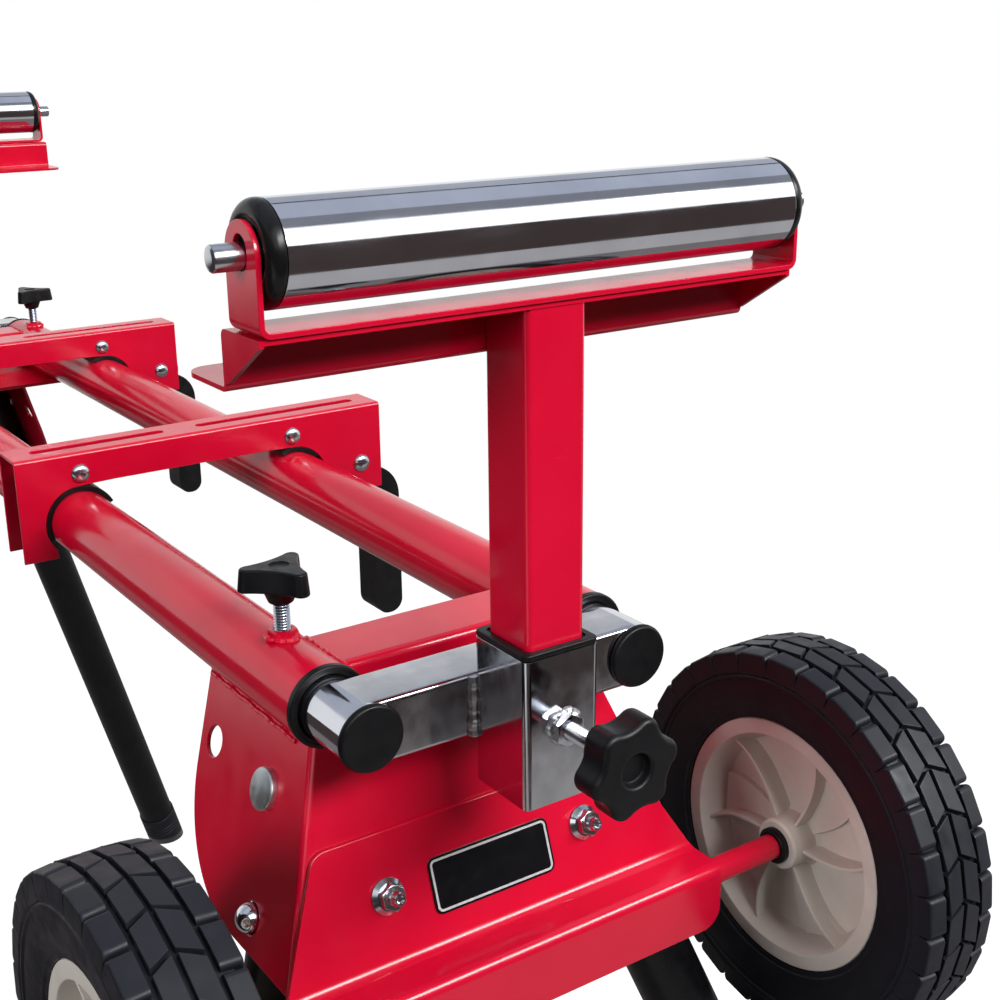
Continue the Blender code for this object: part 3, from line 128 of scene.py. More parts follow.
# Extension arms
ARM_RADIUS = 19.05 * MM
ARM_WALL = 1.8 * MM
ARM_REACH = 44.3 * MM
ARM_TAIL = (WHEEL_END_X - FAR_END_X) / 2 - 45 * MM
ARM_SWELL = 25 * MM
BAR_SIDE = 38.1 * MM
BAR_CORNER = 3 * MM
BAR_SETBACK = 0.2 * MM
CAP_FACE = 4 * MM
CAP_DEPTH = 15 * MM
CAP_EDGE = 1.7 * MM
CAP_GROOVE = 0.35 * MM
CAP_RIM = ARM_RADIUS + 0.75 * MM
SOCKET_SIDE = 49.5 * MM
SOCKET_WALL = 2.5 * MM
SOCKET_CORNER = 4 * MM
SOCKET_WELD = 3.1 * MM
SOCKET_ABOVE = 42.9 * MM
SOCKET_BELOW = 45.3 * MM
GUIDE_RIM = 3.7 * MM
GUIDE_DEPTH = 62 * MM
GUIDE_LEAD = 1.2 * MM

# Knobs and their screws
STUD_RADIUS = 5 * MM
THREAD_PITCH = 1.75 * MM
THREAD_DEPTH = 1 * MM
WELD_NUT_ACROSS = 17 * MM
WELD_NUT_HEIGHT = 8 * MM
NUT_SINK = 1 * MM
NUT_WELD_RADIUS = 9.3 * MM
NUT_WELD = 1.9 * MM
BOSS_NUT_ACROSS = 15.2 * MM
BOSS_SINK = 2 * MM
BOSS_WELD_RADIUS = 8.5 * MM
BOSS_WELD = 2.3 * MM
STUD_SEAT = 2 * MM
STAR_RADIUS = 28.4 * MM
STAR_LOBE = 8 * MM
STAR_VALLEY = 23.6 * MM
STAR_LOBES = 6
STAR_TURN = math.radians(10)
STAR_DEPTH = 19 * MM
STAR_NECK = 14.5 * MM
STAR_BACK = SOCKET_SIDE / 2 + 30 * MM
STAR_EDGE = 3.4 * MM
STAR_DISH = 9.2 * MM
STAR_DISH_DEPTH = 5 * MM
STAR_DISH_LIP = 2.2 * MM
STAR_SKIRT = (9 * MM, 9.8 * MM, 12 * MM, 17 * MM)
LOCK_RADIUS = 24.8 * MM
LOCK_LOBE = 5 * MM
LOCK_VALLEY = 12.4 * MM
LOCK_LOBES = 3
LOCK_TURN = math.radians(11.6)
LOCK_HEIGHT = 14.2 * MM
LOCK_NECK = 8.3 * MM
LOCK_BOSS = 5 * MM
LOCK_BACK = RAIL_RADIUS + LOCK_BOSS + 17 * MM
LOCK_EDGE = 1.4 * MM
LOCK_DRAFT = 0.93
LOCK_DISH = 6 * MM
LOCK_DISH_DEPTH = 1.1 * MM
LOCK_SKIRT = (7 * MM, 7.6 * MM, 11 * MM)

# Roller heads
POST_SIDE = 38.1 * MM
POST_WALL = 2 * MM
POST_CORNER = 4 * MM
POST_BELOW = 30 * MM
POST_MARK_UP = 153 * MM
POST_MARK_RADIUS = 3.2 * MM
POST_MARK_DEPTH = 0.12 * MM
POST_WELD = 1.7 * MM
POST_WELD_ENDS = (-16 * MM, 13 * MM)
ROLLER_RADIUS = 24.95 * MM
ROLLER_WALL = 1.5 * MM
ROLLER_END = 8 * MM
ROLLER_AXLE = 6.35 * MM
ROLLER_AXLE_STICKOUT = 14.8 * MM
ROLLER_AXLE_TIP = 1.6 * MM
ROLLER_PLUG = 18 * MM
ROLLER_BULGE = 6 * MM
CRADLE_HALF = 163.4 * MM
CRADLE_WIDTH = 32 * MM
CRADLE_SHEET = 2.8 * MM
CRADLE_BEND = 3 * MM
CRADLE_DROP = 32.6 * MM
CRADLE_BASE = ROLLER.z - CRADLE_DROP - CRADLE_SHEET
SLEEVE_END = CRADLE_HALF - CRADLE_SHEET - 2 * FRAME_GAP - ROLLER_END
SLOT_LIFT = 3 * MM
STIFFENER_SHEET = 2.5 * MM
STIFFENER_TOP = CRADLE_BASE - FRAME_GAP
STIFFENER_DROP = 28 * MM
STIFFENER_SHELF = 49 * MM
STIFFENER_CORNER = 13 * MM
STIFFENER_BEND = 1.5 * MM
STIFFENER_FRONT_SETBACK = 2 * MM
STIFFENER_END_SETBACK = 3 * MM

# Leg brackets and legs
BRACKET_SHEET = 3 * MM
BRACKET_BEND = 4 * MM
BRACKET_TOP = -RAIL_RADIUS - FRAME_GAP
PANEL_SETBACK = 10.9 * MM
PANEL_SLOPE = math.radians(19.6)
PLATE_RADIUS = 92 * MM
PLATE_TOP_REACH = 103 * MM
PLATE_ARC_START = math.radians(82)
PLATE_WELD = 1.6 * MM
PLATE_WELD_DROP = 5 * MM
PLATE_WELD_ENDS = (4 * MM, 18 * MM)
FAR_PLATE_MARGIN = 10 * MM
FAR_PLATE_THICKNESS = 4 * MM
FAR_PLATE_CORNER = 6 * MM
PIVOT_HEAD = 13 * MM
PIVOT_HEAD_HEIGHT = 6.5 * MM
PIVOT_SHANK = 6 * MM
PIVOT_EDGE = 1.8 * MM
PIVOT_NUT_ACROSS = 16.4 * MM
PIVOT_NUT_HEIGHT = 4 * MM
LEG_RADIUS = 24.15 * MM
LEG_WALL = 1.8 * MM
LEG_LEAN = math.radians(14)
LEG_FOLD = math.radians(104)
LEG_SIDE_GAP = 0.5 * MM
LEG_INSET = BRACKET_SHEET + LEG_SIDE_GAP + LEG_RADIUS
LEG_ABOVE_PIVOT = 20 * MM
LEG_HOLE_GAP = 0.4 * MM
LEG_PLUG_DEPTH = 9 * MM
FOOT_RADIUS = 25.9 * MM
FOOT_LENGTH = 60 * MM
FOOT_SOLE = 18 * MM
FOOT_GROOVES = (30 * MM, 36 * MM, 42 * MM)
FOOT_GROOVE_DEPTH = 0.7 * MM
BUTTON_RADIUS = 9 * MM
BUTTON_FROM_PIVOT = 75 * MM
BUTTON_STICKOUT = 9 * MM
BUTTON_CLEARANCE = 1 * MM
BUTTON_COLLAR = BUTTON_RADIUS + 2 * MM
BUTTON_COLLAR_DEPTH = 5 * MM
BUTTON_DOME = 8.4 * MM

# Wheel bracket, axle and wheels
WHEEL_SHEET = 3 * MM
WHEEL_BENDS = (8 * MM, 4 * MM)
WHEEL_BRACKET_TOP = 80.3 * MM
WHEEL_BRACKET_LEFT = 119 * MM
WHEEL_BRACKET_RIGHT = 112.4 * MM
WHEEL_BRACKET_CORNER = 12 * MM
LEDGE_DROP = 153.4 * MM
LEDGE_HALF = 148 * MM
LIP_REACH = 67.6 * MM
LIP_HEIGHT = 44 * MM
LIP_CORNER = 14 * MM
FLANGE_NUT_SPOTS = (-74.2 * MM, 68 * MM)
FLANGE_NUT_DROP = 115 * MM
FLANGE_NUT_RADIUS = 11 * MM
FLANGE_NUT_ACROSS = 14.4 * MM
FLANGE_NUT_HEIGHT = 7 * MM
FLANGE_BOLT_RADIUS = 4.4 * MM
FLANGE_BOLT_END = 15.8 * MM
NAME_PLATE_WIDTH = 86.6 * MM
NAME_PLATE_HEIGHT = 34.2 * MM
NAME_PLATE_ACROSS = -2.4 * MM
NAME_PLATE_DROP = 119.5 * MM
NAME_PLATE_CORNER = 5 * MM
NAME_PLATE_THICKNESS = 0.9 * MM
NAME_PLATE_INSET = 1.5 * MM
NAME_PLATE_LINE = 1.4 * MM
SLEEVE_RADIUS = 8.5 * MM
SLEEVE_HALF = LEDGE_HALF + 56 * MM
AXLE_RADIUS = 6.35 * MM
FLANGE_BUSH_RADIUS = 12.4 * MM
FLANGE_BUSH_WIDTH = 4 * MM
FLANGE_BUSH_NECK = 10.8 * MM
AXLE_NUT_ACROSS = 17 * MM
AXLE_NUT_HEIGHT = 11.8 * MM
AXLE_NUT_DOME = 7.4 * MM
TYRE_RADIUS = 136 * MM
TYRE_HALF = 29.7 * MM
TREAD_HALF = 28.8 * MM
TREAD_CROWN = 2 * MM
TREAD_DEPTH = 4 * MM
TREAD_LUGS = 30
TREAD_GROOVE = 3 * MM
BLOCK_SKEW = 3.4 * MM
LUG_LENGTH = 15.5 * MM
LUG_INNER = 16.4 * MM
LUG_GAP = 2.6 * MM
LUG_CORNER = 3.4 * MM
RIM_RADIUS = 87.5 * MM
RIM_HALF = 24.4 * MM
RIM_FLANGE = 7 * MM
RIM_STEP = 6.5 * MM
RIM_LIP = 10.6 * MM
WEB_RADIUS = 71 * MM
BOSS_RADIUS = 17.4 * MM
BOSS_HALF = 25 * MM
BOSS_EDGE = 1.5 * MM
WEB_HALF = 3 * MM
RIB_COUNT = 6
RIB_THICKNESS = 2.4 * MM
RIB_SETBACK = 7 * MM
RIB_SWEEP = math.radians(13)
PANEL_RISE = 4 * MM

# Saw brackets
PAD_THICKNESS = 4 * MM
SADDLE_RADIUS = RAIL_RADIUS + PAD_THICKNESS + 2 * FRAME_GAP
CHANNEL_HALF = 20 * MM
CHANNEL_SHEET = 2.5 * MM
CHANNEL_BEND = 3 * MM
CHANNEL_WAIST = SADDLE_RADIUS + 0.8 * MM
CHANNEL_TOP = CHANNEL_WAIST + 26 * MM
CHANNEL_LEVER_END = 174.5 * MM
CHANNEL_LEVER_DROP = 20 * MM
CHANNEL_JAW_REACH = 19 * MM
CHANNEL_JAW_DROP = 26 * MM
CHANNEL_JAW_ANGLE = math.radians(220)
CHANNEL_LEVER_ANGLE = math.radians(20)
PAD_ARCS = {
    "left": (math.radians(25), math.radians(205)),
    "right": (math.radians(40), math.radians(116)),
}
SLOT_WIDTH = 9 * MM
SLOT_INNER = 14 * MM
SLOT_OUTER = 158 * MM
LEVER_PIVOT = in_wheel_end(joint_spot("wheel_end_lever_swing"))
LEVER_PIN_HEAD = 7.7 * MM
LEVER_PIN_HEIGHT = 3.8 * MM
LEVER_PIN_RADIUS = 4 * MM
LEVER_PIN_GAP = 0.3 * MM
RIVET_HEAD = 7.4 * MM
RIVET_HEIGHT = 3.6 * MM
RIVET_RADIUS = 3 * MM
RIVET_OUT = 90.5 * MM
RIVET_UP = 38.6 * MM
LEVER_HALF = CHANNEL_HALF - CHANNEL_SHEET - 1 * MM
CAM_RADIUS = 29.8 * MM
LEVER_ARM_INNER = 13 * MM
LEVER_ARM_THICKNESS = 26 * MM
LEVER_ARM_LENGTH = 147 * MM
LEVER_SHOULDER = 30 * MM
LEVER_SHOULDER_DROP = 36 * MM
LEVER_TIP = 12 * MM

# Facets, and how far a cut runs through
ROUND = 72
FINE_ROUND = 128
SMALL_ROUND = 40
CORNER_STEPS = 8
THROUGH = 0.4
SMOOTH_ANGLE = math.radians(34)
EDGE_ANGLE = math.radians(40)
MERGE = 0.002 * MM


# Modelling by hand

def only(piece):
    """Make one object the only selected and the active one."""
    bpy.ops.object.select_all(action="DESELECT")
    piece.select_set(True)
    bpy.context.view_layer.objects.active = piece


def edit(piece, kind="VERT"):
    only(piece)
    bpy.ops.object.mode_set(mode="EDIT")
    bpy.ops.mesh.select_mode(type=kind)


def leave_edit():
    bpy.ops.object.mode_set(mode="OBJECT")


def choose(piece, elements, test):
    """Select only the vertices, edges or faces of the edited mesh that pass a test."""
    bpy.ops.mesh.select_all(action="DESELECT")
    mesh = bmesh.from_edit_mesh(piece.data)
    for element in getattr(mesh, elements):
        if test(element):
            element.select_set(True)
    bmesh.update_edit_mesh(piece.data)


def in_space(axis, u, v, along):
    """A point given across and along one of the three axes."""
    places = {"X": (along, u, v), "Y": (u, along, v), "Z": (u, v, along)}
    return Vector(places[axis])


def drawn(name, points):
    """A line drawn through points by extruding one vertex, left open in edit mode."""
    bpy.ops.object.select_all(action="DESELECT")
    bpy.ops.mesh.primitive_plane_add(size=MM)
    piece = bpy.context.active_object
    piece.name = name
    edit(piece)
    bpy.ops.mesh.select_all(action="SELECT")
    bpy.ops.mesh.merge(type="CENTER")
    bpy.ops.transform.translate(value=points[0])
    for start, end in zip(points, points[1:]):
        bpy.ops.mesh.extrude_vertices_move(TRANSFORM_OT_translate={"value": end - start})
    return piece


def face_outwards():
    bpy.ops.mesh.select_all(action="SELECT")
    bpy.ops.mesh.remove_doubles(threshold=MERGE)
    bpy.ops.mesh.normals_make_consistent(inside=False)


def plate(name, outline, axis, low, high):
    """Fill an outline and extrude it: (y, z) points along X, (x, z) along Y, (x, y) along Z."""
    piece = drawn(name, [in_space(axis, u, v, low) for u, v in outline])
    bpy.ops.mesh.select_all(action="SELECT")
    bpy.ops.mesh.edge_face_add()
    depth = in_space(axis, 0, 0, high - low)
    bpy.ops.mesh.extrude_region_move(TRANSFORM_OT_translate={"value": depth})
    face_outwards()
    leave_edit()
    return piece


def turned(name, profile, axis, steps=ROUND, ring=False):
    """Spin (along, radius) points about an axis; a ring profile is closed on itself first."""
    points = [in_space(axis, radius, 0, along) for along, radius in profile]
    piece = drawn(name, points)
    if ring:
        mesh = bmesh.from_edit_mesh(piece.data)
        mesh.verts.ensure_lookup_table()
        ends = (mesh.verts[0], mesh.verts[-1])
        choose(piece, "verts", lambda vert: vert in ends)
        bpy.ops.mesh.edge_face_add()
    bpy.ops.mesh.select_all(action="SELECT")
    bpy.ops.mesh.spin(steps=steps, angle=2 * math.pi, center=(0, 0, 0), axis=in_space(axis, 0, 0, 1))
    face_outwards()
    leave_edit()
    return piece


def rod(name, axis, low, high, radius, steps=SMALL_ROUND):
    return turned(name, [(low, 0), (low, radius), (high, radius), (high, 0)], axis, steps)


def tube(name, axis, low, high, outer, inner, steps=ROUND):
    return turned(name, [(low, inner), (low, outer), (high, outer), (high, inner)], axis, steps, ring=True)


def threaded(name, axis, low, high, radius):
    """Screw thread as a stack of sharp ridges."""
    profile = [(low, 0)]
    count = int((high - low) / THREAD_PITCH)
    for index in range(count):
        profile.append((low + index * THREAD_PITCH, radius - THREAD_DEPTH))
        profile.append((low + (index + 0.5) * THREAD_PITCH, radius))
    profile += [(high, radius - THREAD_DEPTH), (high, 0)]
    return turned(name, profile, axis, SMALL_ROUND)


def moved(piece, matrix):
    """Put a piece in another place, with the place kept in its mesh."""
    only(piece)
    piece.matrix_world = matrix
    bpy.ops.object.transform_apply(location=True, rotation=True, scale=True)
    return piece


def shifted(piece, *offset):
    return moved(piece, Matrix.Translation(offset))


def modified(piece, kind, **settings):
    """Add a modifier with its settings and apply it."""
    only(piece)
    bpy.ops.object.modifier_add(type=kind)
    modifier = piece.modifiers[-1]
    for setting, value in settings.items():
        setattr(modifier, setting, value)
    bpy.ops.object.modifier_apply(modifier=modifier.name)
    return piece


def combine(piece, operation, tools):
    """Join, cut or trim a piece with others, which are used up."""
    for tool in tools:
        modified(piece, "BOOLEAN", operation=operation, object=tool)
        bpy.data.objects.remove(tool)
    return piece


def joined(piece, *tools):
    return combine(piece, "UNION", tools)


def cut(piece, *tools):
    return combine(piece, "DIFFERENCE", tools)


def trimmed(piece, keeper):
    return combine(piece, "INTERSECT", [keeper])


def gathered(piece, *others):
    """Put loose shells together in one object."""
    only(piece)
    for other in others:
        other.select_set(True)
    bpy.ops.object.join()
    return piece


def softened(piece, width, segments=2):
    """Break the sharp edges of a piece."""
    return modified(piece, "BEVEL", width=width, segments=segments, limit_method="ANGLE",
                    angle_limit=EDGE_ANGLE)


def rounded_edges(piece, test, radius, segments=10):
    """Round the edges whose ends pass a test."""
    edit(piece, "EDGE")
    choose(piece, "edges", lambda edge: test(*[vert.co for vert in edge.verts]))
    bpy.ops.mesh.bevel(offset=radius, segments=segments, profile=0.5, affect="EDGES")
    leave_edit()
    return piece


def ring_of(piece, count, axis):
    """Repeat a piece round an axis through the origin."""
    edit(piece)
    bpy.ops.mesh.select_all(action="SELECT")
    bpy.ops.mesh.spin(steps=count - 1, dupli=True, angle=2 * math.pi * (count - 1) / count,
                      center=(0, 0, 0), axis=in_space(axis, 0, 0, 1))
    leave_edit()
    return piece


def copied(piece, name):
    only(piece)
    bpy.ops.object.duplicate()
    copy = bpy.context.active_object
    copy.name = name
    copy.data.name = name
    return copy


def smoothed(piece):
    """Smooth on round faces, sharp at edges, flat faces kept flat beside their rounded edges."""
    only(piece)
    bpy.ops.object.shade_smooth_by_angle(angle=SMOOTH_ANGLE)
    return modified(piece, "WEIGHTED_NORMAL", keep_sharp=True)


MASTERS = []


def master(piece):
    """Keep a shape that is copied to its places and removed at the end."""
    MASTERS.append(piece)
    return piece


def set_down(shape, name, matrix, body, finish, *nodes):
    """Copy a shape to its place, let it ride a body and stand for the solids it shows."""
    slot, material = finish
    piece = moved(copied(shape, name), matrix)
    if matrix.determinant() < 0:
        edit(piece)
        bpy.ops.mesh.select_all(action="SELECT")
        bpy.ops.mesh.normals_make_consistent(inside=False)
        leave_edit()
    smoothed(piece)
    piece.data.materials.clear()
    piece.data.materials.append(material)
    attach(piece, body)
    if nodes:
        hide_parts(*nodes)
    return piece


def rail_places(end):
    """Hand of the stand and place on the rail's axis, for both rails at an end."""
    right = 1 if end == "wheel_end" else -1
    for side in (-1, 1):
        hand = "right" if side == right else "left"
        yield hand, ENDS[end] @ Matrix.Translation((0, side * HALF_SPACING, 0))


# Outlines

def arc(centre, radius, start, end, steps=CORNER_STEPS):
    points = []
    for step in range(steps + 1):
        angle = start + (end - start) * step / steps
        points.append((centre[0] + radius * math.cos(angle), centre[1] + radius * math.sin(angle)))
    return points


def along_axis(points):
    """Outline points (radius, along) read as (along, radius) points of a profile."""
    return [(along, radius) for radius, along in points]


def mirror_image(half):
    """The other half of a profile that is alike on both sides of its middle."""
    return [(-along, radius) for along, radius in half[::-1]]


def dome(base, height, radius, steps, start=0):
    """Profile points of a rounded end, from its base to its tip on the axis."""
    quarter_round = arc((0, 0), 1, start, QUARTER, steps)[:-1]
    return [(base + height * lift, radius * reach) for reach, lift in quarter_round] + [(base + height, 0)]


def rounded_rectangle(width, height, radius, centre=(0, 0), steps=CORNER_STEPS):
    points = []
    for index, (side_u, side_v) in enumerate(((1, 1), (-1, 1), (-1, -1), (1, -1))):
        corner = (centre[0] + side_u * (width / 2 - radius), centre[1] + side_v * (height / 2 - radius))
        points += arc(corner, radius, index * QUARTER, (index + 1) * QUARTER, steps)
    return points


def rectangle(low_u, low_v, high_u, high_v):
    return [(low_u, low_v), (high_u, low_v), (high_u, high_v), (low_u, high_v)]


def hexagon(across):
    corner = across / 2 / math.cos(math.pi / 6)
    return arc((0, 0), corner, 0, 5 * math.pi / 3, 5)


def lobed(radius, lobe, valley, lobes, turn):
    """Round lobes that reach the radius, joined by hollow arcs that come in as far as the valley."""
    half = math.pi / lobes
    reach = radius - lobe
    inwards = reach * math.cos(half)
    hollow = (reach ** 2 + valley ** 2 - 2 * valley * inwards - lobe ** 2) / (2 * (lobe + inwards - valley))
    hollow_reach = valley + hollow
    swing = math.atan2(hollow_reach * math.sin(half), hollow_reach * math.cos(half) - reach)
    points = []
    for index in range(lobes):
        angle = turn + 2 * half * index
        lobe_centre = (reach * math.cos(angle), reach * math.sin(angle))
        hollow_centre = (hollow_reach * math.cos(angle + half), hollow_reach * math.sin(angle + half))
        points += arc(lobe_centre, lobe, angle - swing, angle + swing, 12)
        inwards_from = angle + swing + math.pi
        inwards_to = angle + 2 * half - swing + math.pi
        points += arc(hollow_centre, hollow, inwards_from, inwards_to, 10)[1:-1]
    return points


def bent_strip(points, thickness, bend, steps=CORNER_STEPS):
    """Outline of a bent sheet whose right-hand face runs through the points, thick to the left.

    One inside radius is given for all bends, or a tuple with one for each.
    """
    corners = [Vector(point) for point in points]
    bends = bend if isinstance(bend, tuple) else (bend,) * (len(points) - 2)
    heading = (corners[1] - corners[0]).normalized()
    right = [corners[0]]
    left = [corners[0] + thickness * heading.orthogonal()]
    for before, corner, after, inside in zip(corners, corners[1:], corners[2:], bends):
        arriving = (corner - before).normalized()
        leaving = (after - corner).normalized()
        turn = math.atan2(arriving.cross(leaving), arriving.dot(leaving))
        side = math.copysign(1, turn)
        right_radius = inside + thickness if turn > 0 else inside
        left_radius = inside if turn > 0 else inside + thickness
        tangent = corner - arriving * right_radius * math.tan(abs(turn) / 2)
        centre = tangent + arriving.orthogonal() * side * right_radius
        spoke = (tangent - centre).normalized()
        for step in range(steps + 1):
            turned_spoke = Matrix.Rotation(turn * step / steps, 2) @ spoke
            right.append(centre + right_radius * turned_spoke)
            left.append(centre + left_radius * turned_spoke)
    heading = (corners[-1] - corners[-2]).normalized()
    right.append(corners[-1])
    left.append(corners[-1] + thickness * heading.orthogonal())
    return [tuple(point) for point in right + left[::-1]]


def bead(name, path, radius, closed=False, ripple=0.15):
    """Weld bead along a path, with the ripples of its runs."""
    spacing = 0.9 * MM
    stops = [Vector(point) for point in path]
    if closed:
        stops.append(stops[0])
    spots = []
    for start, end in zip(stops, stops[1:]):
        count = max(1, round((end - start).length / spacing))
        spots += [start.lerp(end, step / count) for step in range(count)]
    if not closed:
        spots.append(stops[-1])
    curve = bpy.data.curves.new(name, "CURVE")
    curve.dimensions = "3D"
    curve.bevel_depth = radius
    curve.bevel_resolution = 2
    curve.use_fill_caps = True
    line = curve.splines.new("POLY")
    line.points.add(len(spots) - 1)
    line.use_cyclic_u = closed
    for index, spot in enumerate(spots):
        line.points[index].co = (*spot, 1)
        wave = 0.6 * math.sin(index * 1.7) + math.sin(index * 0.83 + 1) + math.sin(index * 0.31)
        line.points[index].radius = 1 + ripple * wave
    piece = bpy.data.objects.new(name, curve)
    bpy.context.scene.collection.objects.link(piece)
    only(piece)
    bpy.ops.object.convert(target="MESH")
    return bpy.context.active_object


# Finishes

def plain_finish(name, **sockets):
    material = bpy.data.materials.new(name)
    material.use_nodes = True
    shader = material.node_tree.nodes["Principled BSDF"]
    for socket, value in sockets.items():
        shader.inputs[socket.replace("_", " ")].default_value = value
    return material


def node(material, kind, **inputs):
    """Add a node; an input given as a socket is linked, any other is set."""
    tree = material.node_tree
    made = tree.nodes.new(kind)
    for name, value in inputs.items():
        wanted = made.inputs[name.replace("_", " ")]
        if isinstance(value, bpy.types.NodeSocket):
            tree.links.new(value, wanted)
        else:
            wanted.default_value = value
    return made


def worked_out(material, operation, first, second):
    """Result of a sum on two values."""
    made = material.node_tree.nodes.new("ShaderNodeMath")
    made.operation = operation
    for wanted, value in zip(made.inputs, (first, second)):
        material.node_tree.links.new(value, wanted)
    return made.outputs["Value"]


def feed(material, socket, output):
    shader = material.node_tree.nodes["Principled BSDF"]
    material.node_tree.links.new(output, shader.inputs[socket])


def noise(material, scale, detail=2.0, stretch=(1, 1, 1)):
    """Noise over the piece's own space, stretched along the axes it is asked for."""
    spot = node(material, "ShaderNodeTexCoord").outputs["Object"]
    stretched = node(material, "ShaderNodeMapping", Vector=spot, Scale=stretch).outputs["Vector"]
    return node(material, "ShaderNodeTexNoise", Vector=stretched, Scale=scale, Detail=detail).outputs["Fac"]


def spread(material, value, low, high, start=0.3, end=0.7):
    """Map a value to a range."""
    return node(material, "ShaderNodeMapRange", Value=value, From_Min=start, From_Max=end,
                To_Min=low, To_Max=high).outputs["Result"]


def tinted(material, share, first, second):
    """Blend two colours by a value."""
    ramp = node(material, "ShaderNodeValToRGB", Fac=share)
    ramp.color_ramp.elements[0].color = (*first, 1)
    ramp.color_ramp.elements[1].color = (*second, 1)
    return ramp.outputs["Color"]


def bumped(material, height, strength, distance, **under):
    """Bump the surface, on top of another bump where one is given as its Normal."""
    bump = node(material, "ShaderNodeBump", Height=height, Strength=strength, Distance=distance, **under)
    feed(material, "Normal", bump.outputs["Normal"])
    return bump.outputs["Normal"]


def clouded(material, scale, detail, first, second):
    """Blend two tones in soft clouds."""
    clouds = spread(material, noise(material, scale, detail), 0, 1)
    feed(material, "Base Color", tinted(material, clouds, first, second))


def uneven_gloss(material, scale, detail, low, high):
    """Let the roughness wander between two levels."""
    feed(material, "Roughness", spread(material, noise(material, scale, detail), low, high))


def red_powder_coat():
    material = plain_finish("red_powder_coat", IOR=1.5)
    clouded(material, 9, 3, (0.57, 0.002, 0.025), (0.63, 0.004, 0.031))
    uneven_gloss(material, 60, 3, 0.13, 0.22)
    bumped(material, noise(material, 420, 2), 0.03, 0.1 * MM)
    return material


def chrome(name, low, high, stretch, waver, dull=(0.56, 0.58, 0.63), bright=(0.66, 0.68, 0.73)):
    """Bright plating, a little wavy, with fine scratches along one direction."""
    material = plain_finish(name, Metallic=1.0)
    clouded(material, 30, 4, dull, bright)
    streaks = noise(material, 160, 4, stretch)
    feed(material, "Roughness", spread(material, streaks, low, high, 0.35, 0.75))
    waves = bumped(material, noise(material, 40, 1, stretch), 1, waver)
    bumped(material, noise(material, 700, 2, stretch), 0.05, 0.05 * MM, Normal=waves)
    return material


def zinc(name, dull, bright, low, high, patches):
    """Plated steel with patches of a duller tone."""
    material = plain_finish(name, Metallic=1.0)
    clouded(material, patches, 4, dull, bright)
    uneven_gloss(material, 2 * patches, 2, low, high)
    bumped(material, noise(material, 900, 2), 0.04, 0.05 * MM)
    return material


def printed_silver():
    material = plain_finish("printed_silver", Metallic=0.25)
    clouded(material, 600, 3, (0.5, 0.5, 0.52), (0.62, 0.62, 0.63))
    uneven_gloss(material, 300, 2, 0.34, 0.5)
    bumped(material, noise(material, 1500, 2), 0.05, 0.03 * MM)
    return material


def black_moulding(name, shade, low, high, grain, strength):
    material = plain_finish(name, IOR=1.48, Specular_IOR_Level=0.25)
    lighter = tuple(1.5 * part for part in shade)
    clouded(material, 45, 3, shade, lighter)
    uneven_gloss(material, 120, 3, low, high)
    bumped(material, noise(material, grain, 2), strength, 0.1 * MM)
    return material


def rubber():
    """Tyre rubber: greyer on its sharp edges, partly rubbed wear and partly a painted highlight along them.
    """
    material = plain_finish("black_rubber", IOR=1.42, Specular_IOR_Level=0.35)
    edge_pointiness = node(material, "ShaderNodeNewGeometry").outputs["Pointiness"]
    # Sharp edges lighten the base colour: partly rubbed wear, partly a painted highlight along the block
    # edges.
    wear_and_highlight = spread(material, edge_pointiness, 0, 1, 0.52, 0.62)
    feed(material, "Base Color", tinted(material, wear_and_highlight, (0.0058, 0.0066, 0.0105), (0.022, 0.0235, 0.03)))
    uneven_gloss(material, 90, 3, 0.38, 0.56)
    bumped(material, noise(material, 1100, 2), 0.15, 0.06 * MM)
    return material


def beige_moulding():
    material = plain_finish("beige_plastic", IOR=1.46)
    clouded(material, 40, 3, (0.66, 0.61, 0.55), (0.74, 0.69, 0.63))
    uneven_gloss(material, 150, 3, 0.42, 0.6)
    bumped(material, noise(material, 1000, 2), 0.12, 0.06 * MM)
    return material


# Each finish with the slot of the frame that it shows
RED = "red_powder_coat", red_powder_coat()
CHROME = "chrome_plate", chrome("chrome_plate", 0.05, 0.14, (1, 0.14, 1), 0.3 * MM)
ARM_CHROME = "chrome_plate", chrome("chrome_plate_tubes", 0.05, 0.16, (0.2, 1, 1), 0.1 * MM)
HAZY_CHROME = "chrome_plate", chrome("chrome_plate_hazy", 0.08, 0.2, (1, 0.5, 0.4), 0.06 * MM,
                                     (0.42, 0.43, 0.45), (0.54, 0.55, 0.58))
WELD_CHROME = "chrome_plate", chrome("chrome_plate_weld", 0.28, 0.45, (1, 1, 1), 0.2 * MM,
                                     (0.3, 0.3, 0.31), (0.55, 0.56, 0.58))
BUTTON_CHROME = "zinc_plate", CHROME[1]
ZINC = "zinc_plate", zinc("zinc_plate", (0.4, 0.44, 0.5), (0.56, 0.58, 0.62), 0.15, 0.24, 60)
DULL_ZINC = "zinc_plate", zinc("zinc_plate_dull", (0.44, 0.5, 0.52), (0.72, 0.76, 0.77), 0.34, 0.5, 130)
SILVER = "zinc_plate", printed_silver()
PLASTIC = "black_plastic", black_moulding("black_plastic", (0.0035, 0.0035, 0.0042), 0.32, 0.48, 900, 0.15)
GLOSSY_PLASTIC = "black_plastic", black_moulding("black_plastic_glossy", (0.0045, 0.0045, 0.005),
                                                 0.2, 0.3, 900, 0.06)
PAINT = "black_paint", black_moulding("black_paint", (0.005, 0.005, 0.006), 0.26, 0.4, 380, 0.1)
LABEL = "black_plastic", black_moulding("label_black", (0.004, 0.004, 0.005), 0.16, 0.26, 500, 0.03)
RUBBER = "black_rubber", rubber()
BEIGE = "beige_plastic", beige_moulding()

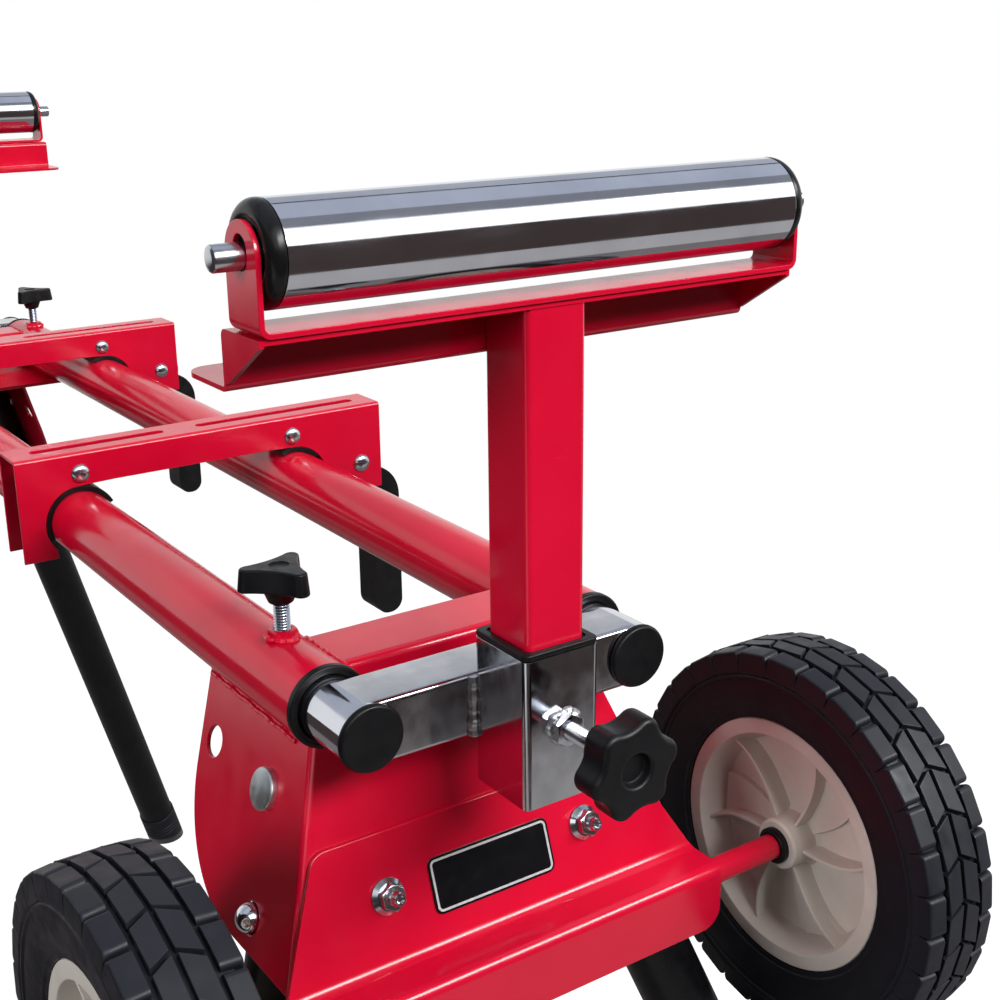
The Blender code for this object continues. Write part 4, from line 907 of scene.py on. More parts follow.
# Rails, cross tubes and bushings
TURN_TO_X = Matrix.Rotation(QUARTER, 4, "Y")
MIRROR_Y = Matrix.Scale(-1, 4, (0, 1, 0))
ALONG_RAILS = Matrix.Translation((RAIL_MIDDLE, 0, RAIL_Z))
rail = tube("rail", "X", -RAIL_LENGTH / 2, RAIL_LENGTH / 2, RAIL_RADIUS, RAIL_RADIUS - RAIL_WALL)
rail_shape = master(softened(rail, 0.4 * MM))
for hand, side in HAND_SIDES.items():
    spot = ALONG_RAILS @ Matrix.Translation((0, side * HALF_SPACING, 0))
    set_down(rail_shape, f"{hand}_rail_tube", spot, "frame", RED, f"{hand}_rail")


def coped(body, low, high, radius):
    """Cut a cross piece to the round of the two tubes it runs between."""
    copes = []
    for side in (-1, 1):
        cope = rod("cope", "X", low, high, radius, ROUND)
        copes.append(shifted(cope, 0, side * HALF_SPACING, 0))
    return cut(body, *copes)


def cross_tube():
    outline = rounded_rectangle(CROSS_WIDTH, CROSS_HEIGHT, CROSS_CORNER, (CROSS_MIDDLE, 0))
    body = plate("cross_tube", outline, "Y", -HALF_SPACING, HALF_SPACING)
    return coped(body, CROSS_MIDDLE - CROSS_WIDTH, CROSS_MIDDLE + CROSS_WIDTH, RAIL_RADIUS)


def cross_weld():
    """Bead round the cope of a cross tube, at the rail on the +Y side."""
    path = []
    outline = rounded_rectangle(CROSS_WIDTH, CROSS_HEIGHT, CROSS_CORNER, (CROSS_MIDDLE, 0), 4)
    for along, height in outline:
        across = HALF_SPACING - math.sqrt(RAIL_RADIUS ** 2 - height ** 2)
        path.append((along, across, height))
    return bead("cross_weld", path, CROSS_WELD, closed=True)


def bushing():
    bore = ARM_RADIUS + FRAME_GAP
    sleeve = RAIL_RADIUS - RAIL_WALL - FRAME_GAP
    seat = FRAME_GAP - BUSHING_FLANGE
    tail = -BUSHING_FLANGE - BUSHING_DEPTH
    step_rim = bore + 2.6 * MM
    profile = [(-BUSHING_LEAD, bore), (-BUSHING_STEP, bore + BUSHING_LEAD - BUSHING_STEP),
               (-BUSHING_STEP, step_rim), (0, step_rim + 0.4 * MM)]
    profile += along_axis(arc((BUSHING_RIM - BUSHING_EDGE, -BUSHING_EDGE), BUSHING_EDGE, QUARTER, 0, 5))
    profile += [(seat, BUSHING_RIM), (seat, sleeve), (tail, sleeve), (tail, bore)]
    return turned("bushing", profile, "X", ring=True)


def hex_nut(name, across, height, bore):
    """Nut along Z from Z = 0, with its corners turned off."""
    corner = across / 2 / math.cos(math.pi / 6) + 0.1 * MM
    flat = across / 2 * 0.96
    chamfer = (corner - flat) * 0.55
    blank = plate(name, hexagon(across), "Z", 0, height)
    barrel = turned("barrel", [(0, 0), (0, flat), (chamfer, corner), (height - chamfer, corner),
                               (height, flat), (height, 0)], "Z")
    body = trimmed(blank, barrel)
    if bore:
        body = cut(body, rod("bore", "Z", -height, 2 * height, bore))
    return softened(body, 0.25 * MM, 1)


def weld_ring(name, radius, size):
    """Lumpy weld round a nut, in the plane Z = 0."""
    path = []
    for step in range(36):
        angle = 2 * math.pi * step / 36
        lump = radius + 0.8 * MM * math.sin(3 * angle + 1) + 0.5 * MM * math.sin(7 * angle)
        path.append((lump * math.cos(angle), lump * math.sin(angle), 0))
    return bead(name, path, size, closed=True)


cross_tube_shape = master(cross_tube())
cross_weld_shape = master(cross_weld())
bushing_shape = master(bushing())
boss_nut = hex_nut("boss_nut", BOSS_NUT_ACROSS, LOCK_BOSS + BOSS_SINK, STUD_RADIUS + FRAME_GAP)
boss_weld = shifted(weld_ring("boss_weld", BOSS_WELD_RADIUS, BOSS_WELD), 0, 0, BOSS_WELD)
boss_shape = master(gathered(boss_nut, boss_weld))
LOCK_SPOT = Matrix.Translation((-LOCK_SETBACK, -HALF_SPACING, 0))
BOSS_SPOT = LOCK_SPOT @ Matrix.Translation((0, 0, RAIL_RADIUS - BOSS_SINK))

for end, placed in ENDS.items():
    set_down(cross_tube_shape, f"{end}_cross_tube_fine", placed, "frame", RED, f"{end}_cross_tube")
    set_down(cross_weld_shape, f"{end}_cross_weld_a", placed, "frame", RED)
    set_down(cross_weld_shape, f"{end}_cross_weld_b", placed @ MIRROR_Y, "frame", RED)
    set_down(boss_shape, f"{end}_lock_boss", placed @ BOSS_SPOT, "frame", RED)
    for hand, spot in rail_places(end):
        set_down(bushing_shape, f"{end}_{hand}_bushing_ring", spot, "frame", PLASTIC, f"{end}_{hand}_bushing")


# Extension arms

def arm_tube():
    bore = ARM_RADIUS - ARM_WALL
    swell = RAIL_RADIUS - RAIL_WALL - FRAME_GAP
    profile = [(-ARM_TAIL, bore), (-ARM_TAIL, swell), (-ARM_TAIL + ARM_SWELL, swell),
               (-ARM_TAIL + 2 * ARM_SWELL, ARM_RADIUS), (ARM_REACH, ARM_RADIUS), (ARM_REACH, bore)]
    return turned("arm_tube", profile, "X", ring=True)


def arm_head():
    """Bar across the two tubes with the post socket on its front."""
    middle = (ARM_REACH - BAR_SIDE / 2 - BAR_SETBACK, 0)
    outline = rounded_rectangle(BAR_SIDE - 2 * BAR_SETBACK, BAR_SIDE, BAR_CORNER, middle)
    bar = plate("arm_head", outline, "Y", -HALF_SPACING, HALF_SPACING)
    bar = coped(bar, -BAR_SIDE, 2 * BAR_SIDE, ARM_RADIUS - BAR_SETBACK)
    outline = rounded_rectangle(SOCKET_SIDE, SOCKET_SIDE, SOCKET_CORNER, (POST_X, 0))
    socket = plate("socket", outline, "Z", -SOCKET_BELOW, SOCKET_ABOVE)
    inner = SOCKET_SIDE - 2 * SOCKET_WALL
    outline = rounded_rectangle(inner, inner, SOCKET_CORNER - SOCKET_WALL, (POST_X, 0))
    well = plate("well", outline, "Z", -2 * SOCKET_BELOW, 2 * SOCKET_ABOVE)
    hole = rod("hole", "X", POST_X, POST_X + SOCKET_SIDE, STUD_RADIUS + FRAME_GAP)
    socket = softened(cut(socket, well, hole), 0.5 * MM)
    return gathered(bar, socket)


def socket_welds():
    """Upright beads where the socket's sides meet the bar, and the lumps round the weld nut."""
    welds = []
    for side in (-1, 1):
        across = side * (SOCKET_SIDE / 2 + 0.9 * MM)
        upright = [(ARM_REACH + 0.2 * MM, across, height * MM) for height in range(-18, 19, 3)]
        welds.append(bead("socket_weld", upright, SOCKET_WELD, ripple=0.1))
    ring = weld_ring("nut_weld", NUT_WELD_RADIUS, NUT_WELD)
    welds.append(moved(ring, Matrix.Translation((POST_X + SOCKET_SIDE / 2, 0, 0)) @ TURN_TO_X))
    return gathered(*welds)


def tube_cap():
    plug = ARM_RADIUS - ARM_WALL - FRAME_GAP
    seat = ARM_REACH + FRAME_GAP
    back = ARM_REACH - CAP_DEPTH
    face = ARM_REACH + CAP_FACE
    step = face - CAP_EDGE - 0.5 * MM
    face_rim = CAP_RIM - CAP_GROOVE
    profile = [(back, 0), (back, plug), (seat, plug), (seat, CAP_RIM), (step, CAP_RIM), (step, face_rim)]
    profile += along_axis(arc((face_rim - CAP_EDGE, face - CAP_EDGE), CAP_EDGE, 0, QUARTER, 6))
    profile += [(face - 0.1 * MM, CAP_RIM * 0.5), (face - 0.3 * MM, 0)]
    return turned("tube_cap", profile, "X")


def post_guide():
    """Plastic sleeve in the socket with a stepped rim on top."""
    top = SOCKET_ABOVE + GUIDE_RIM
    outline = rounded_rectangle(SOCKET_SIDE, SOCKET_SIDE, SOCKET_CORNER)
    rim = softened(plate("post_guide", outline, "Z", SOCKET_ABOVE + FRAME_GAP, top), 0.9 * MM, 3)
    inner = SOCKET_SIDE - 2 * SOCKET_WALL - 2 * FRAME_GAP
    outline = rounded_rectangle(inner, inner, 1.3 * MM)
    sleeve = plate("sleeve", outline, "Z", SOCKET_ABOVE - GUIDE_DEPTH, SOCKET_ABOVE + 1 * MM)
    bore = POST_SIDE + 2 * FRAME_GAP
    outline = rounded_rectangle(bore, bore, POST_CORNER - FRAME_GAP)
    well = plate("well", outline, "Z", -THROUGH, THROUGH)
    mouth = bore + 2 * GUIDE_LEAD
    outline = rounded_rectangle(mouth, mouth, POST_CORNER)
    lead = plate("lead", outline, "Z", top - 1 * MM, top + GUIDE_RIM)
    hole = rod("hole", "X", 0, SOCKET_SIDE, STUD_RADIUS + FRAME_GAP)
    return shifted(cut(joined(rim, sleeve), well, lead, hole), POST_X, 0, 0)


def star_knob():
    """Six-lobed knob with a round hollow in its face and a skirt down to the stud."""
    lobe_back = STAR_BACK + STAR_NECK
    front = lobe_back + STAR_DEPTH
    outline = lobed(STAR_RADIUS, STAR_LOBE, STAR_VALLEY, STAR_LOBES, STAR_TURN)
    grip = softened(plate("star_knob", outline, "X", lobe_back, front), STAR_EDGE, 5)
    bottom = front - STAR_DISH_DEPTH
    lip = front - STAR_DISH_LIP
    brim = STAR_DISH + STAR_DISH_LIP
    profile = [(bottom, 0), (bottom, STAR_DISH - 1.4 * MM), (bottom + 0.8 * MM, STAR_DISH - 0.6 * MM),
               (lip, STAR_DISH)]
    profile += along_axis(arc((brim, lip), STAR_DISH_LIP, math.pi, QUARTER, 5)[1:])
    profile += [(front + 2 * MM, brim), (front + 2 * MM, 0)]
    hollow = turned("hollow", profile, "X")
    foot, collar, waist, flare = STAR_SKIRT
    skirt = turned("skirt", [(STAR_BACK, 0), (STAR_BACK, foot), (STAR_BACK + 1 * MM, collar),
                             (lobe_back - 3 * MM, waist), (lobe_back + 2 * MM, flare),
                             (lobe_back + 2 * MM, 0)], "X")
    return joined(cut(grip, hollow), skirt)


def lock_knob():
    """Three-lobed knob, drafted towards its flat top, with a shallow round hollow in it."""
    lobe_back = LOCK_BACK + LOCK_NECK
    top = lobe_back + LOCK_HEIGHT
    outline = lobed(LOCK_RADIUS, LOCK_LOBE, LOCK_VALLEY, LOCK_LOBES, LOCK_TURN)
    grip = plate("lock_knob", outline, "Z", lobe_back, top)
    edit(grip)
    choose(grip, "verts", lambda vert: vert.co.z > top - MM)
    bpy.ops.transform.resize(value=(LOCK_DRAFT, LOCK_DRAFT, 1), center_override=(0, 0, top))
    leave_edit()
    grip = softened(grip, LOCK_EDGE, 4)
    bottom = top - LOCK_DISH_DEPTH
    hollow = turned("hollow", [(bottom, 0), (bottom, LOCK_DISH - 0.8 * MM), (bottom + 0.5 * MM, LOCK_DISH),
                               (top + MM, LOCK_DISH + 0.4 * MM), (top + MM, 0)], "Z")
    foot, collar, flare = LOCK_SKIRT
    neck = turned("neck", [(LOCK_BACK, 0), (LOCK_BACK, foot), (LOCK_BACK + 0.6 * MM, collar),
                           (lobe_back + MM, flare), (lobe_back + MM, 0)], "Z")
    return joined(cut(grip, hollow), neck)


arm_tube_shape = master(softened(arm_tube(), 0.3 * MM))
arm_head_shape = master(arm_head())
socket_weld_shape = master(socket_welds())
socket_nut = hex_nut("socket_nut", WELD_NUT_ACROSS, WELD_NUT_HEIGHT + NUT_SINK, STUD_RADIUS + FRAME_GAP)
on_socket = Matrix.Translation((POST_X + SOCKET_SIDE / 2 - NUT_SINK, 0, 0)) @ TURN_TO_X
socket_nut_shape = master(moved(socket_nut, on_socket))
tube_cap_shape = master(tube_cap())
post_guide_shape = master(post_guide())
star_knob_shape = master(star_knob())
star_stud = threaded("star_stud", "X", POST_SIDE / 2 + FRAME_GAP, STAR_BACK + STUD_SEAT, STUD_RADIUS)
star_stud_shape = master(star_stud)
lock_knob_shape = master(lock_knob())
lock_stud = threaded("lock_stud", "Z", ARM_RADIUS + FRAME_GAP, LOCK_BACK + STUD_SEAT, STUD_RADIUS)
lock_stud_shape = master(lock_stud)

for end, placed in ENDS.items():
    arm_body = f"{end}_extension"
    arm_node = f"{end}_arm"
    for hand, spot in rail_places(end):
        cap_node = f"{end}_{hand}_tube_cap"
        set_down(arm_tube_shape, f"{end}_{hand}_arm_tube", spot, arm_body, ARM_CHROME, arm_node)
        set_down(tube_cap_shape, f"{end}_{hand}_tube_end_cap", spot, arm_body, PLASTIC, cap_node)
    set_down(arm_head_shape, f"{end}_arm_bar_and_socket", placed, arm_body, HAZY_CHROME, arm_node)
    set_down(socket_weld_shape, f"{end}_socket_welds", placed, arm_body, WELD_CHROME)
    set_down(socket_nut_shape, f"{end}_socket_weld_nut", placed, arm_body, HAZY_CHROME, arm_node)
    set_down(post_guide_shape, f"{end}_post_guide_sleeve", placed, arm_body, PLASTIC, f"{end}_post_guide")
    star_spot = placed @ Matrix.Translation((POST_X, 0, 0))
    star_node = f"{end}_star_knob"
    set_down(star_knob_shape, f"{end}_star_knob_grip", star_spot, f"{end}_post_lock", PLASTIC, star_node)
    set_down(star_stud_shape, f"{end}_star_knob_stud", star_spot, f"{end}_post_lock", ZINC, star_node)
    lock_spot = placed @ LOCK_SPOT
    lock_node = f"{end}_arm_lock_knob"
    set_down(lock_knob_shape, f"{end}_arm_lock_grip", lock_spot, f"{end}_arm_lock", PLASTIC, lock_node)
    set_down(lock_stud_shape, f"{end}_arm_lock_stud", lock_spot, f"{end}_arm_lock", ZINC, lock_node)


# Roller heads, modelled about the axis of the post

def post():
    """Square tube with a shallow round mark pressed in its front."""
    outline = rounded_rectangle(POST_SIDE, POST_SIDE, POST_CORNER)
    body = plate("post", outline, "Z", -POST_BELOW, STIFFENER_TOP - STIFFENER_SHEET / 2)
    inner = POST_SIDE - 2 * POST_WALL
    outline = rounded_rectangle(inner, inner, POST_CORNER - POST_WALL)
    bore = plate("bore", outline, "Z", -THROUGH, STIFFENER_TOP - STIFFENER_SHEET)
    mark = rod("mark", "X", POST_SIDE / 2 - POST_MARK_DEPTH, POST_SIDE, POST_MARK_RADIUS)
    return cut(body, bore, shifted(mark, 0, 0, POST_MARK_UP))


def stiffener():
    """Folded sheet under the cradle: top, wall, rounded shelf and a triangular flap at each end."""
    front = ROLLER.x + CRADLE_WIDTH / 2 - STIFFENER_FRONT_SETBACK
    wall = -POST_SIDE / 2 - STIFFENER_SHEET / 2
    shelf = STIFFENER_TOP - STIFFENER_DROP
    back = wall - STIFFENER_SHELF
    low = -CRADLE_HALF
    high = CRADLE_HALF - STIFFENER_END_SETBACK
    folds = [(front, STIFFENER_TOP), (wall, STIFFENER_TOP), (wall, shelf), (back, shelf)]
    sheet = plate("stiffener", bent_strip(folds, STIFFENER_SHEET, STIFFENER_BEND), "Y", low, high)

    def at_shelf_corner(first, second):
        upright = abs(first.x - second.x) < MERGE and abs(first.y - second.y) < MERGE
        return upright and first.x < back + MM

    sheet = rounded_edges(sheet, at_shelf_corner, STIFFENER_CORNER)
    flaps = []
    outline = [(wall + 2.2 * MM, STIFFENER_TOP - MM), (front, STIFFENER_TOP - MM),
               (front, STIFFENER_TOP - STIFFENER_SHEET - MM), (wall + 4 * MM, shelf + 2 * MM),
               (wall + 2.2 * MM, shelf + 2 * MM)]
    for start in (low, high - STIFFENER_SHEET):
        flaps.append(plate("flap", outline, "Y", start, start + STIFFENER_SHEET))
    return softened(joined(sheet, *flaps), 0.45 * MM)


def cradle():
    """Bent strip whose round-topped ears hold the roller axle in upright slots."""
    radius = CRADLE_WIDTH / 2
    top = ROLLER.z + radius
    strip = bent_strip([(-CRADLE_HALF, top), (-CRADLE_HALF, CRADLE_BASE), (CRADLE_HALF, CRADLE_BASE),
                        (CRADLE_HALF, top)], CRADLE_SHEET, CRADLE_BEND)
    body = plate("cradle", strip, "X", ROLLER.x - radius, ROLLER.x + radius)
    centre = (ROLLER.x, ROLLER.z)
    keep = arc(centre, radius, 0, math.pi, 32) + [(ROLLER.x - radius, 0), (ROLLER.x + radius, 0)]
    body = trimmed(body, plate("keep", keep, "Y", -2 * CRADLE_HALF, 2 * CRADLE_HALF))
    slot_radius = ROLLER_AXLE + FRAME_GAP
    slot = arc((centre[0], centre[1] + SLOT_LIFT), slot_radius, 0, math.pi, 16)
    slot += arc(centre, slot_radius, math.pi, 2 * math.pi, 16)
    body = cut(body, plate("slot", slot, "Y", -2 * CRADLE_HALF, 2 * CRADLE_HALF))
    return softened(body, 0.5 * MM)


def roller_axle():
    end = CRADLE_HALF + ROLLER_AXLE_STICKOUT
    tip = ROLLER_AXLE_TIP
    half = [(end - tip, ROLLER_AXLE), (end - tip * 0.5, ROLLER_AXLE - tip * 0.3),
            (end - tip * 0.15, ROLLER_AXLE * 0.72), (end, ROLLER_AXLE * 0.55), (end, 0)]
    return turned("roller_axle", mirror_image(half) + half, "Y")


def roller_sleeve():
    inner = ROLLER_RADIUS - ROLLER_WALL
    sleeve = tube("roller_sleeve", "Y", -SLEEVE_END, SLEEVE_END, ROLLER_RADIUS, inner, FINE_ROUND)
    return softened(sleeve, 0.4 * MM)


def roller_core():
    """Plastic core on the axle: a plug in each end of the sleeve and a bulging end, dished by the axle."""
    bore = ROLLER_AXLE + FRAME_GAP
    plug = ROLLER_RADIUS - ROLLER_WALL - FRAME_GAP
    seat = SLEEVE_END + FRAME_GAP
    back = SLEEVE_END - ROLLER_PLUG
    end = SLEEVE_END + ROLLER_END
    half = [(back, bore + 3 * MM), (back, plug), (seat, plug), (seat, ROLLER_RADIUS - 0.4 * MM),
            (seat + 0.6 * MM, ROLLER_RADIUS), (end - ROLLER_BULGE, ROLLER_RADIUS)]
    bulge_centre = (ROLLER_RADIUS - ROLLER_BULGE, end - ROLLER_BULGE)
    half += along_axis(arc(bulge_centre, ROLLER_BULGE, 0, QUARTER * 1.35, 12)[1:])
    half += [(end - 2.6 * MM, bore + 6 * MM), (end - 0.4 * MM, bore + 5.4 * MM), (end - 0.4 * MM, bore)]
    return turned("roller_core", mirror_image(half) + half, "Y", FINE_ROUND, ring=True)


def post_welds():
    """Beads under the stiffener along the two sides of the post."""
    under = STIFFENER_TOP - STIFFENER_SHEET - 0.2 * MM
    start, end = POST_WELD_ENDS
    welds = []
    for side in (-1, 1):
        across = side * (POST_SIDE / 2 + 0.3 * MM)
        welds.append(bead("post_weld", [(start, across, under), (end, across, under)], POST_WELD))
    return gathered(*welds)


post_shape = master(softened(post(), 0.4 * MM))
stiffener_shape = master(stiffener())
post_weld_shape = master(post_welds())
cradle_shape = master(cradle())
roller_axle_shape = master(roller_axle())
roller_sleeve_shape = master(roller_sleeve())
roller_core_shape = master(roller_core())
for end, placed in ENDS.items():
    head = placed @ Matrix.Translation((POST_X, 0, 0))
    head_body = f"{end}_head"
    set_down(post_shape, f"{end}_post_tube", head, head_body, RED, f"{end}_post")
    set_down(stiffener_shape, f"{end}_stiffener", head, head_body, RED, f"{end}_post")
    set_down(post_weld_shape, f"{end}_post_welds", head, head_body, RED)
    set_down(cradle_shape, f"{end}_cradle_strip", head, head_body, RED, f"{end}_cradle")
    on_axle = head @ Matrix.Translation(ROLLER)
    set_down(roller_axle_shape, f"{end}_roller_pin", on_axle, head_body, ZINC, f"{end}_roller_axle")
    roller = f"{end}_roller"
    set_down(roller_sleeve_shape, f"{end}_roller_tube", on_axle, roller, CHROME, f"{end}_roller_sleeve")
    set_down(roller_core_shape, f"{end}_roller_ends", on_axle, roller, GLOSSY_PLASTIC, f"{end}_roller_core")


# Leg brackets and legs

def panel_x(height):
    """Outer face of the sloped front panel at a height."""
    return -PANEL_SETBACK + math.tan(PANEL_SLOPE) * (BRACKET_TOP - height)


def leg_axis(end, hand):
    """The pivot of a leg in the frame of its end, and the direction out through its side plate."""
    joint = JOINTS[f"{end}_{hand}_leg_fold"]
    back = ENDS[end].inverted()
    spot = back @ Vector(joint["pos_m"])
    outwards = back.to_3x3() @ Vector(joint["axis"])
    if outwards.z < 0:
        outwards = -outwards
    return spot, outwards


def plate_frame(end, hand):
    """Frame on the outer face of a side plate at the leg pivot: Z outwards, Y up the plate."""
    spot, outwards = leg_axis(end, hand)
    along = Vector((1, 0, 0))
    upwards = outwards.cross(along)
    if upwards.z < 0:
        upwards = -upwards
    turn = Matrix((upwards.cross(outwards), upwards, outwards)).transposed().to_4x4()
    return Matrix.Translation(spot + LEG_INSET * outwards) @ turn


def splay_of(end, hand):
    """How far a side plate leans from upright."""
    outwards = plate_frame(end, hand).col[2]
    return math.atan2(outwards.z, abs(outwards.y))


def on_plate(end, hand, x, height):
    """Point on the outer face of a side plate."""
    pivot = plate_frame(end, hand).translation
    widening = math.tan(splay_of(end, hand)) * (pivot.z - height)
    return Vector((x, math.copysign(1, pivot.y) * (abs(pivot.y) + widening), height))


def bracket_sheet(end, top):
    """Sloped front panel and two splayed side plates, drawn as three faces, bent and thickened."""
    faces = []
    bends = []
    for hand in HAND_SIDES:
        pivot = plate_frame(end, hand).translation
        upright = math.cos(splay_of(end, hand))
        bottom = pivot.z - PLATE_RADIUS * upright
        outline = [on_plate(end, hand, panel_x(top), top),
                   on_plate(end, hand, pivot.x - PLATE_TOP_REACH, top)]
        for u, v in arc((0, 0), PLATE_RADIUS, QUARTER + PLATE_ARC_START, QUARTER, 36):
            outline.append(on_plate(end, hand, pivot.x + u, pivot.z - v * upright))
        outline.append(on_plate(end, hand, panel_x(bottom), bottom))
        faces.append(outline)
        bends.append((outline[0], outline[-1]))
    (first_top, first_bottom), (second_top, second_bottom) = bends
    faces.append([first_top, first_bottom, second_bottom, second_top])
    sheets = []
    for outline in faces:
        sheet = drawn("bracket_sheet", outline)
        bpy.ops.mesh.select_all(action="SELECT")
        bpy.ops.mesh.edge_face_add()
        leave_edit()
        sheets.append(sheet)
    sheet = gathered(*sheets)
    edit(sheet, "EDGE")
    face_outwards()

    def is_bend(edge):
        return len(edge.link_faces) == 2

    choose(sheet, "edges", is_bend)
    bpy.ops.mesh.bevel(offset=BRACKET_BEND, segments=8, profile=0.5, affect="EDGES")
    bpy.ops.mesh.select_all(action="SELECT")
    bpy.ops.mesh.normals_make_consistent(inside=False)
    mesh = bmesh.from_edit_mesh(sheet.data)
    panel = max(mesh.faces, key=lambda face: abs(face.normal.x))
    if panel.normal.x < 0:
        bpy.ops.mesh.flip_normals()
    leave_edit()
    return modified(sheet, "SOLIDIFY", thickness=BRACKET_SHEET, offset=-1, use_even_offset=True)


def leg_bracket(end):
    """Bracket with a lock hole for the open and for the folded leg in each plate."""
    top = BRACKET_TOP if end == "wheel_end" else BRACKET_TOP - MM
    body = bracket_sheet(end, top)
    drills = []
    for hand in HAND_SIDES:
        fixed = plate_frame(end, hand)
        forwards = math.copysign(1, fixed.col[0].x)
        for angle in (LEG_LEAN, LEG_LEAN - LEG_FOLD):
            spot = Vector((forwards * math.sin(angle), -math.cos(angle), 0)) * BUTTON_FROM_PIVOT
            drill = rod("drill", "Z", -12 * MM, 12 * MM, BUTTON_RADIUS + BUTTON_CLEARANCE)
            drills.append(moved(drill, fixed @ Matrix.Translation(spot)))
    body = softened(cut(body, *drills), 0.6 * MM)
    if end == "far_end":
        back = plate_frame(end, "left").translation.x - PLATE_TOP_REACH
        half = HALF_SPACING + FAR_PLATE_MARGIN
        middle = ((back - PANEL_SETBACK) / 2, 0)
        outline = rounded_rectangle(-PANEL_SETBACK - back, 2 * half, FAR_PLATE_CORNER, middle)
        top_plate = plate("top_plate", outline, "Z", BRACKET_TOP - FAR_PLATE_THICKNESS, BRACKET_TOP)
        body = gathered(body, softened(top_plate, 0.5 * MM))
    return body


def pivot_bolt():
    """Low bolt head on the plate, its shank through the leg and a nut inside."""
    nut_end = -LEG_INSET - LEG_RADIUS - LEG_SIDE_GAP - PIVOT_NUT_HEIGHT
    top = PIVOT_HEAD_HEIGHT
    profile = [(nut_end, 0), (nut_end, PIVOT_SHANK), (-0.4 * MM, PIVOT_SHANK),
               (-0.4 * MM, PIVOT_HEAD - 0.4 * MM), (0.6 * MM, PIVOT_HEAD)]
    edge_centre = (PIVOT_HEAD - PIVOT_EDGE, top - 3.4 * MM)
    profile += along_axis(arc(edge_centre, PIVOT_EDGE, 0, QUARTER * 0.8, 6))
    profile += [(top - 1.1 * MM, PIVOT_HEAD * 0.66), (top - 0.7 * MM, PIVOT_HEAD * 0.4), (top - 0.5 * MM, 0)]
    body = turned("pivot_bolt", profile, "Z")
    nut = hex_nut("pivot_nut", PIVOT_NUT_ACROSS, PIVOT_NUT_HEIGHT - 0.2 * MM, 0)
    return gathered(body, shifted(nut, 0, 0, nut_end + 0.1 * MM))


def plate_weld(end, hand):
    """Uneven bead along the top of a side plate, under its rail."""
    height = BRACKET_TOP - PLATE_WELD_DROP
    from_back, past_pivot = PLATE_WELD_ENDS
    back = plate_frame(end, hand).translation.x - PLATE_TOP_REACH + from_back
    across = on_plate(end, hand, back, height).y
    run = PLATE_TOP_REACH + past_pivot - from_back
    path = []
    for step in range(25):
        path.append((back + step / 24 * run, across, height + 0.5 * MM * math.sin(step * 1.3)))
    return bead("plate_weld", path, PLATE_WELD, ripple=0.07)


def leg_frame(end, hand):
    """Frame of an open leg on its pivot axis: Z up the leg, Y out through the side plate."""
    spot, outwards = leg_axis(end, hand)
    upright = plate_frame(end, hand).col[1].to_3d()
    upwards = upright * math.cos(LEG_LEAN) - Vector((1, 0, 0)) * math.sin(LEG_LEAN)
    turn = Matrix((outwards.cross(upwards), outwards, upwards)).transposed().to_4x4()
    return ENDS[end] @ Matrix.Translation(spot) @ turn


def leg_tube(length):
    low = -length + FOOT_SOLE + FRAME_GAP
    body = tube("leg", "Z", low, LEG_ABOVE_PIVOT, LEG_RADIUS, LEG_RADIUS - LEG_WALL)
    pivot = rod("pivot", "Y", -2 * LEG_RADIUS, 2 * LEG_RADIUS, PIVOT_SHANK + LEG_HOLE_GAP)
    button = rod("button", "Y", 0, 2 * LEG_RADIUS, BUTTON_RADIUS + LEG_HOLE_GAP)
    return softened(cut(body, pivot, shifted(button, 0, 0, -BUTTON_FROM_PIVOT)), 0.35 * MM)


def leg_plug():
    """Plastic plug that closes the top of a leg, flush with the tube."""
    radius = LEG_RADIUS - LEG_WALL - 0.1 * MM
    low = LEG_ABOVE_PIVOT - LEG_PLUG_DEPTH
    high = LEG_ABOVE_PIVOT - 0.3 * MM
    return turned("leg_plug", [(low, 0), (low, radius), (high - MM, radius), (high, radius - MM),
                               (high, 9 * MM), (high - 0.8 * MM, 7 * MM), (high - 0.8 * MM, 0)], "Z")


def leg_foot(length):
    """Rubber boot with three grip grooves, long enough to be cut level with the floor."""
    top = -length + FOOT_LENGTH
    bore = LEG_RADIUS + FRAME_GAP
    seat = -length + FOOT_SOLE
    below = -length - FOOT_RADIUS
    profile = [(below, 0), (below, FOOT_RADIUS)]
    groove_radius = FOOT_RADIUS - FOOT_GROOVE_DEPTH
    for groove in FOOT_GROOVES:
        height = -length + groove
        profile += [(height - MM, FOOT_RADIUS), (height - 0.5 * MM, groove_radius),
                    (height + 0.5 * MM, groove_radius), (height + MM, FOOT_RADIUS)]
    profile += [(top - 1.2 * MM, FOOT_RADIUS), (top - 0.4 * MM, FOOT_RADIUS - 0.4 * MM),
                (top, FOOT_RADIUS - 1 * MM), (top, bore), (seat, bore), (seat, 0)]
    return turned("foot", profile, "Z")


def lock_button():
    """Sprung pin with a round head, standing out through leg and plate."""
    inside = LEG_RADIUS - LEG_WALL
    front = math.sqrt(inside ** 2 - BUTTON_COLLAR ** 2) - 2 * FRAME_GAP
    back = front - BUTTON_COLLAR_DEPTH
    tip = LEG_INSET + BUTTON_STICKOUT - 0.05 * MM
    profile = [(back, 0), (back, BUTTON_COLLAR), (front, BUTTON_COLLAR), (front, BUTTON_RADIUS)]
    profile += dome(tip - BUTTON_DOME, BUTTON_DOME, BUTTON_RADIUS, 14)
    return shifted(turned("lock_button", profile, "Y"), 0, 0, -BUTTON_FROM_PIVOT)


def cut_level(foot):
    """Cut a foot off at the floor."""
    edit(foot)
    bpy.ops.mesh.select_all(action="SELECT")
    bpy.ops.mesh.bisect(plane_co=(0, 0, 0), plane_no=(0, 0, 1), use_fill=True, clear_inner=True)
    leave_edit()
    smoothed(foot)


